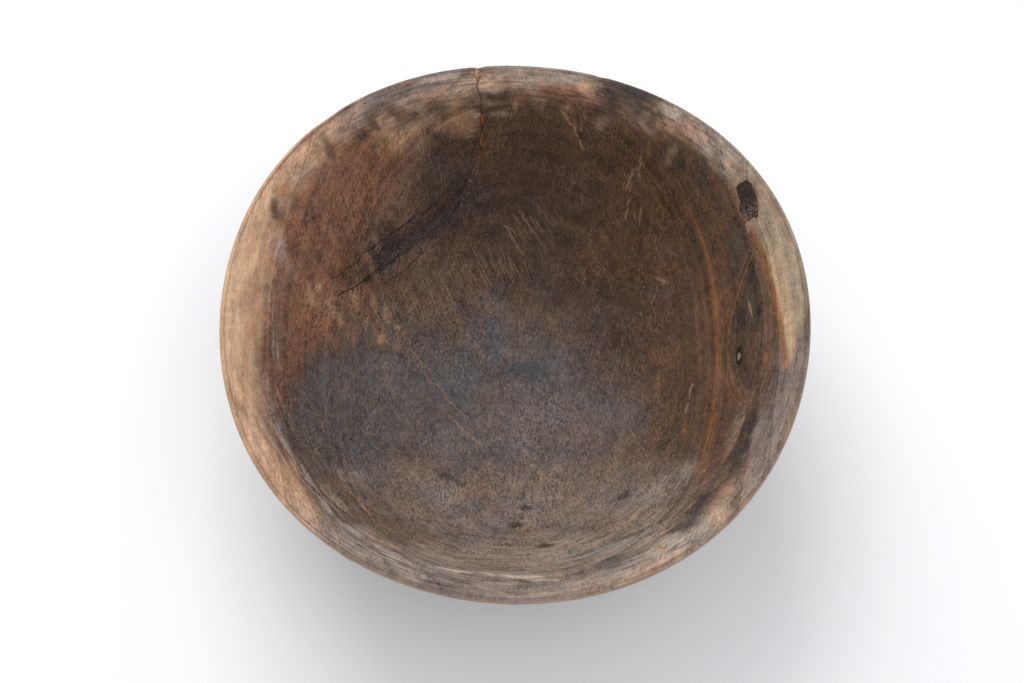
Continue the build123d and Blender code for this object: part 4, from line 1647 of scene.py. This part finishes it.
@dataclass(frozen=True)
class LetIn:
    """A small piece that sits in the bowl's wall."""

    node: str
    shape: Shape
    angle: float
    inset: float
    length: float
    width: float
    finish: str
    depth: float = 4 * MM
    turn: float = 0.0
    crown: float = 0.25 * MM
    sunk: float = 0.0
    ragged: float = 0.08
    pocket_depth: float = 0.0

    def frame_on(self, shell: BowlShell) -> tuple[Array, Array, Array, Array]:
        """Origin on the smooth form, then along, across and out of the wood."""
        c = shell.carving
        radius = c.rim_radius - self.inset
        at = np.array(self.angle)
        soft = shell.softness(at)
        step = 0.5 * MM
        rise = c.inner_height(radius + step, at, soft) - c.inner_height(radius - step, at, soft)
        slope = math.atan(float(rise) / (2 * step))
        phi = math.radians(self.angle)
        out = np.array([-math.sin(slope) * math.cos(phi), -math.sin(slope) * math.sin(phi),
                        math.cos(slope)])
        grain = np.array([0.0, 1.0, 0.0]) - out * out[1]
        grain /= np.linalg.norm(grain)
        side = np.cross(grain, out)
        t = math.radians(self.turn)
        along = grain * math.cos(t) + side * math.sin(t)
        across = np.cross(along, out)
        origin = c.placed(radius, at, c.inner_height(radius, at, soft))
        return origin, along, across, out

    def pocket(self, shell: BowlShell) -> Pocket:
        """The hollow the piece sits in."""
        origin, along, across, _ = self.frame_on(shell)
        reach = (self.length / 2 + 0.6 * MM, self.width / 2 + 0.6 * MM)
        return Pocket(origin, along, across, *reach, self.pocket_depth)

    def build(self, shell: BowlShell) -> bpy.types.Object:
        """The piece: a low crown that follows the wall, and a foot inside the wood.

        A ring at share s lies at s times the outline; its crown is 1 minus s to the fourth,
        plus a fine random raggedness. Two more rings go down to the foot.
        """
        origin, along, across, out = self.frame_on(shell)
        turn = np.linspace(0.0, 2 * np.pi, 64, endpoint=False)
        u, v = self.shape.outline(turn)
        shares = np.linspace(0.12, 1.0, 12)[:, None]
        wobble = SolidNoise(hash_name(self.node)).at(
            np.stack([u * 3.1, v * 3.1, 0 * u], axis=-1), 1.0) - 0.5
        swell = 1.0 + self.ragged * 2 * wobble
        a = shares * u * swell * self.length / 2
        b = shares * v * swell * self.width / 2
        crown = self.crown * (1.0 - shares**4) - self.sunk
        grit = SolidNoise(41).at(np.stack([a, b, 0 * a], -1) + origin, 1.3 * MM) - 0.5
        top = self.on_wall(shell, origin, along, across, out, a, b,
                           crown + 0.3 * MM * grit * (self.width > 4 * MM))
        down = np.stack([top[-1] - out * self.depth * 0.5, top[-1] - out * self.depth])
        down[1] += (origin - out * self.depth - down[1]) * 0.3
        rows = np.concatenate([top, down])
        start = top[0].mean(0)
        piece = closed_mesh(self.node.replace("crack_fill", "gum_fill") + "_piece", rows,
                            start, down[1].mean(0))
        return piece

    def on_wall(self, shell: BowlShell, origin: Array, along: Array, across: Array,
                out: Array, a: Array, b: Array, lift: Array) -> Array:
        """Points on the carved wall over the piece's own plane, raised by lift."""
        plane = origin + a[..., None] * along + b[..., None] * across
        radius, angle = shell.carving.mean_place(plane[..., 0], plane[..., 1])
        return shell.inside_surface(radius, angle) + out * lift[..., None]


def hash_name(name: str) -> int:
    """A seed from a name: the sum of its letters' codes."""
    return sum(name.encode())


PIECES: tuple[LetIn, ...] = (
    LetIn("dead_knot", Shape.BLOCK, 29.2, 16.4 * MM, 29 * MM, 13 * MM, "knot",
          9 * MM, crown=0.5 * MM, ragged=0.12, pocket_depth=1.6 * MM),
    LetIn("knot_wedge", Shape.DART, 23.8, 23.9 * MM, 9.5 * MM, 6 * MM, "pale",
          5 * MM, turn=-160.0, crown=0.6 * MM),
    LetIn("pin_bark", Shape.OVAL, -4.9, 43.0 * MM, 14 * MM, 7 * MM, "bark",
          7 * MM, crown=0.35 * MM, ragged=0.2, pocket_depth=0.6 * MM),
    LetIn("pin_knot", Shape.OVAL, -4.9, 43.0 * MM, 7 * MM, 3.8 * MM, "pale",
          9 * MM, crown=0.9 * MM, ragged=0.2),
    LetIn("heart_sliver", Shape.SPLINTER, 6.3, 35.6 * MM, 14 * MM, 2.4 * MM, "pale",
          4 * MM, turn=-6.0, crown=0.35 * MM, ragged=0.2),
    LetIn("rim_knot", Shape.OVAL, -60.5, 13.6 * MM, 7 * MM, 6.4 * MM, "lip_knot",
          8 * MM, crown=0.4 * MM),
    LetIn("rim_sliver", Shape.SPLINTER, 97.9, 6.0 * MM, 10 * MM, 3.8 * MM, "pale",
          9 * MM, crown=0.8 * MM, ragged=0.3),
    LetIn("crack_fill_upper", Shape.STRIP, 97.9, 30.8 * MM, 9.5 * MM, 1.2 * MM, "gum",
          4 * MM, turn=-11.0, crown=0.5 * MM, sunk=-0.6 * MM, ragged=0.2),
    LetIn("crack_fill_middle", Shape.STRIP, 98.7, 40.0 * MM, 11 * MM, 0.9 * MM, "gum",
          4 * MM, turn=-7.0, crown=0.5 * MM, sunk=-0.6 * MM, ragged=0.2),
    LetIn("crack_fill_lower", Shape.STRIP, 102.6, 55.4 * MM, 38 * MM, 0.9 * MM, "gum",
          3 * MM, turn=11.0, crown=0.3 * MM, sunk=-0.3 * MM, ragged=0.2),
)


def finishes() -> dict[str, bpy.types.Material]:
    """The finish of each kind of small piece."""
    return {
        "knot": StreakedWood("dead_knot_wood", Tone.BLACKENED, Tone.CHESTNUT, 1.6 * MM,
                             3.2 * MM, dark=0.5, wisps=True).build(),
        "bark": StreakedWood("knot_bark_wood", Tone.BLACKENED, Tone.UMBER, dark=0.5).build(),
        "pale": StreakedWood("bare_splinter_wood", Tone.TAN, Tone.CREAM, dark=0.95,
                             far_dark=0.62).build(),
        "lip_knot": RingedKnot((93.5 * MM, -162 * MM, 137 * MM)).build(),
        "gum": DriedGum().build(),
    }


# -------------------------------------------------------------------------------- studio


@dataclass(frozen=True)
class Studio:
    """A plain pale floor, soft light from behind and above, and the camera."""

    aim: tuple[float, float, float] = (-1.8 * MM, -22 * MM, 142 * MM)
    elevation: float = 64.5
    distance: float = 1.130
    lens: float = 60.0

    def floor(self) -> None:
        """A wide pale floor under the foot."""
        half = 4.0
        corners = [(-half, -half, 0), (half, -half, 0), (half, half, 0), (-half, half, 0)]
        mesh = bpy.data.meshes.new("studio_floor")
        mesh.from_pydata(corners, [], [(0, 1, 2, 3)])
        ground = bpy.data.objects.new("studio_floor", mesh)
        bpy.context.scene.collection.objects.link(ground)
        sheet = NodeSheet("pale_floor")
        mesh.materials.append(sheet.finish((0.86, 0.86, 0.86), 0.9))

    def lamp(self, name: str, place: tuple[float, float, float], size: float,
             power: float) -> None:
        """A square soft lamp that faces the bowl."""
        data = bpy.data.lights.new(name, "AREA")
        data.size = size
        data.energy = power
        lamp = bpy.data.objects.new(name, data)
        bpy.context.scene.collection.objects.link(lamp)
        lamp.location = place
        away = np.array(place) - np.array([0, 0, 0.08])
        yaw = math.atan2(away[1], away[0]) + math.pi / 2
        lamp.rotation_euler = (math.acos(away[2] / np.linalg.norm(away)), 0, yaw)

    def camera(self) -> None:
        """The camera, which looks down into the mouth from the near side."""
        data = bpy.data.cameras.new("camera")
        data.lens = self.lens
        camera = bpy.data.objects.new("camera", data)
        bpy.context.scene.collection.objects.link(camera)
        up = math.radians(self.elevation)
        x, y, z = self.aim
        camera.location = (x, y - self.distance * math.cos(up), z + self.distance * math.sin(up))
        camera.rotation_euler = (math.pi / 2 - up, 0, 0)
        bpy.context.scene.camera = camera

    def build(self) -> None:
        """Floor, lamps, sky and camera."""
        scene = bpy.context.scene
        scene.view_settings.view_transform = "Standard"
        world = bpy.data.worlds.new("sky")
        scene.world = world
        world.use_nodes = True
        sky = world.node_tree.nodes["Background"]
        sky.inputs["Color"].default_value = (0.93, 0.96, 1.0, 1.0)
        sky.inputs["Strength"].default_value = 0.75
        self.floor()
        self.lamp("window", (-0.5, 1.5, 1.7), 1.6, 34)
        self.lamp("fill", (0.8, -0.9, 2.0), 1.6, 10)
        self.camera()


def dressed(piece: bpy.types.Object, material: bpy.types.Material,
            node: str) -> None:
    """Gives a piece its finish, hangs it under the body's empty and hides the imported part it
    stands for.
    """
    piece.data.materials.append(material)
    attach(piece, ROOT)
    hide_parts(node)
    LOG.info("%s stands for %s, %d faces", piece.name, node, len(piece.data.polygons))


def main() -> None:
    """Builds the body, the pieces in its wall and the studio, in that order."""
    shell = BowlShell(Carving(), Relief())
    shell.pockets = [item.pocket(shell) for item in PIECES if item.pocket_depth]
    dressed(shell.build(), CarvedWood().build(), "bowl_shell")
    kinds = finishes()
    for item in PIECES:
        dressed(item.build(shell), kinds[item.finish], item.node)
    Studio().build()


if __name__ == "__main__":
    logging.basicConfig(level=logging.INFO, format="%(message)s")
    main()
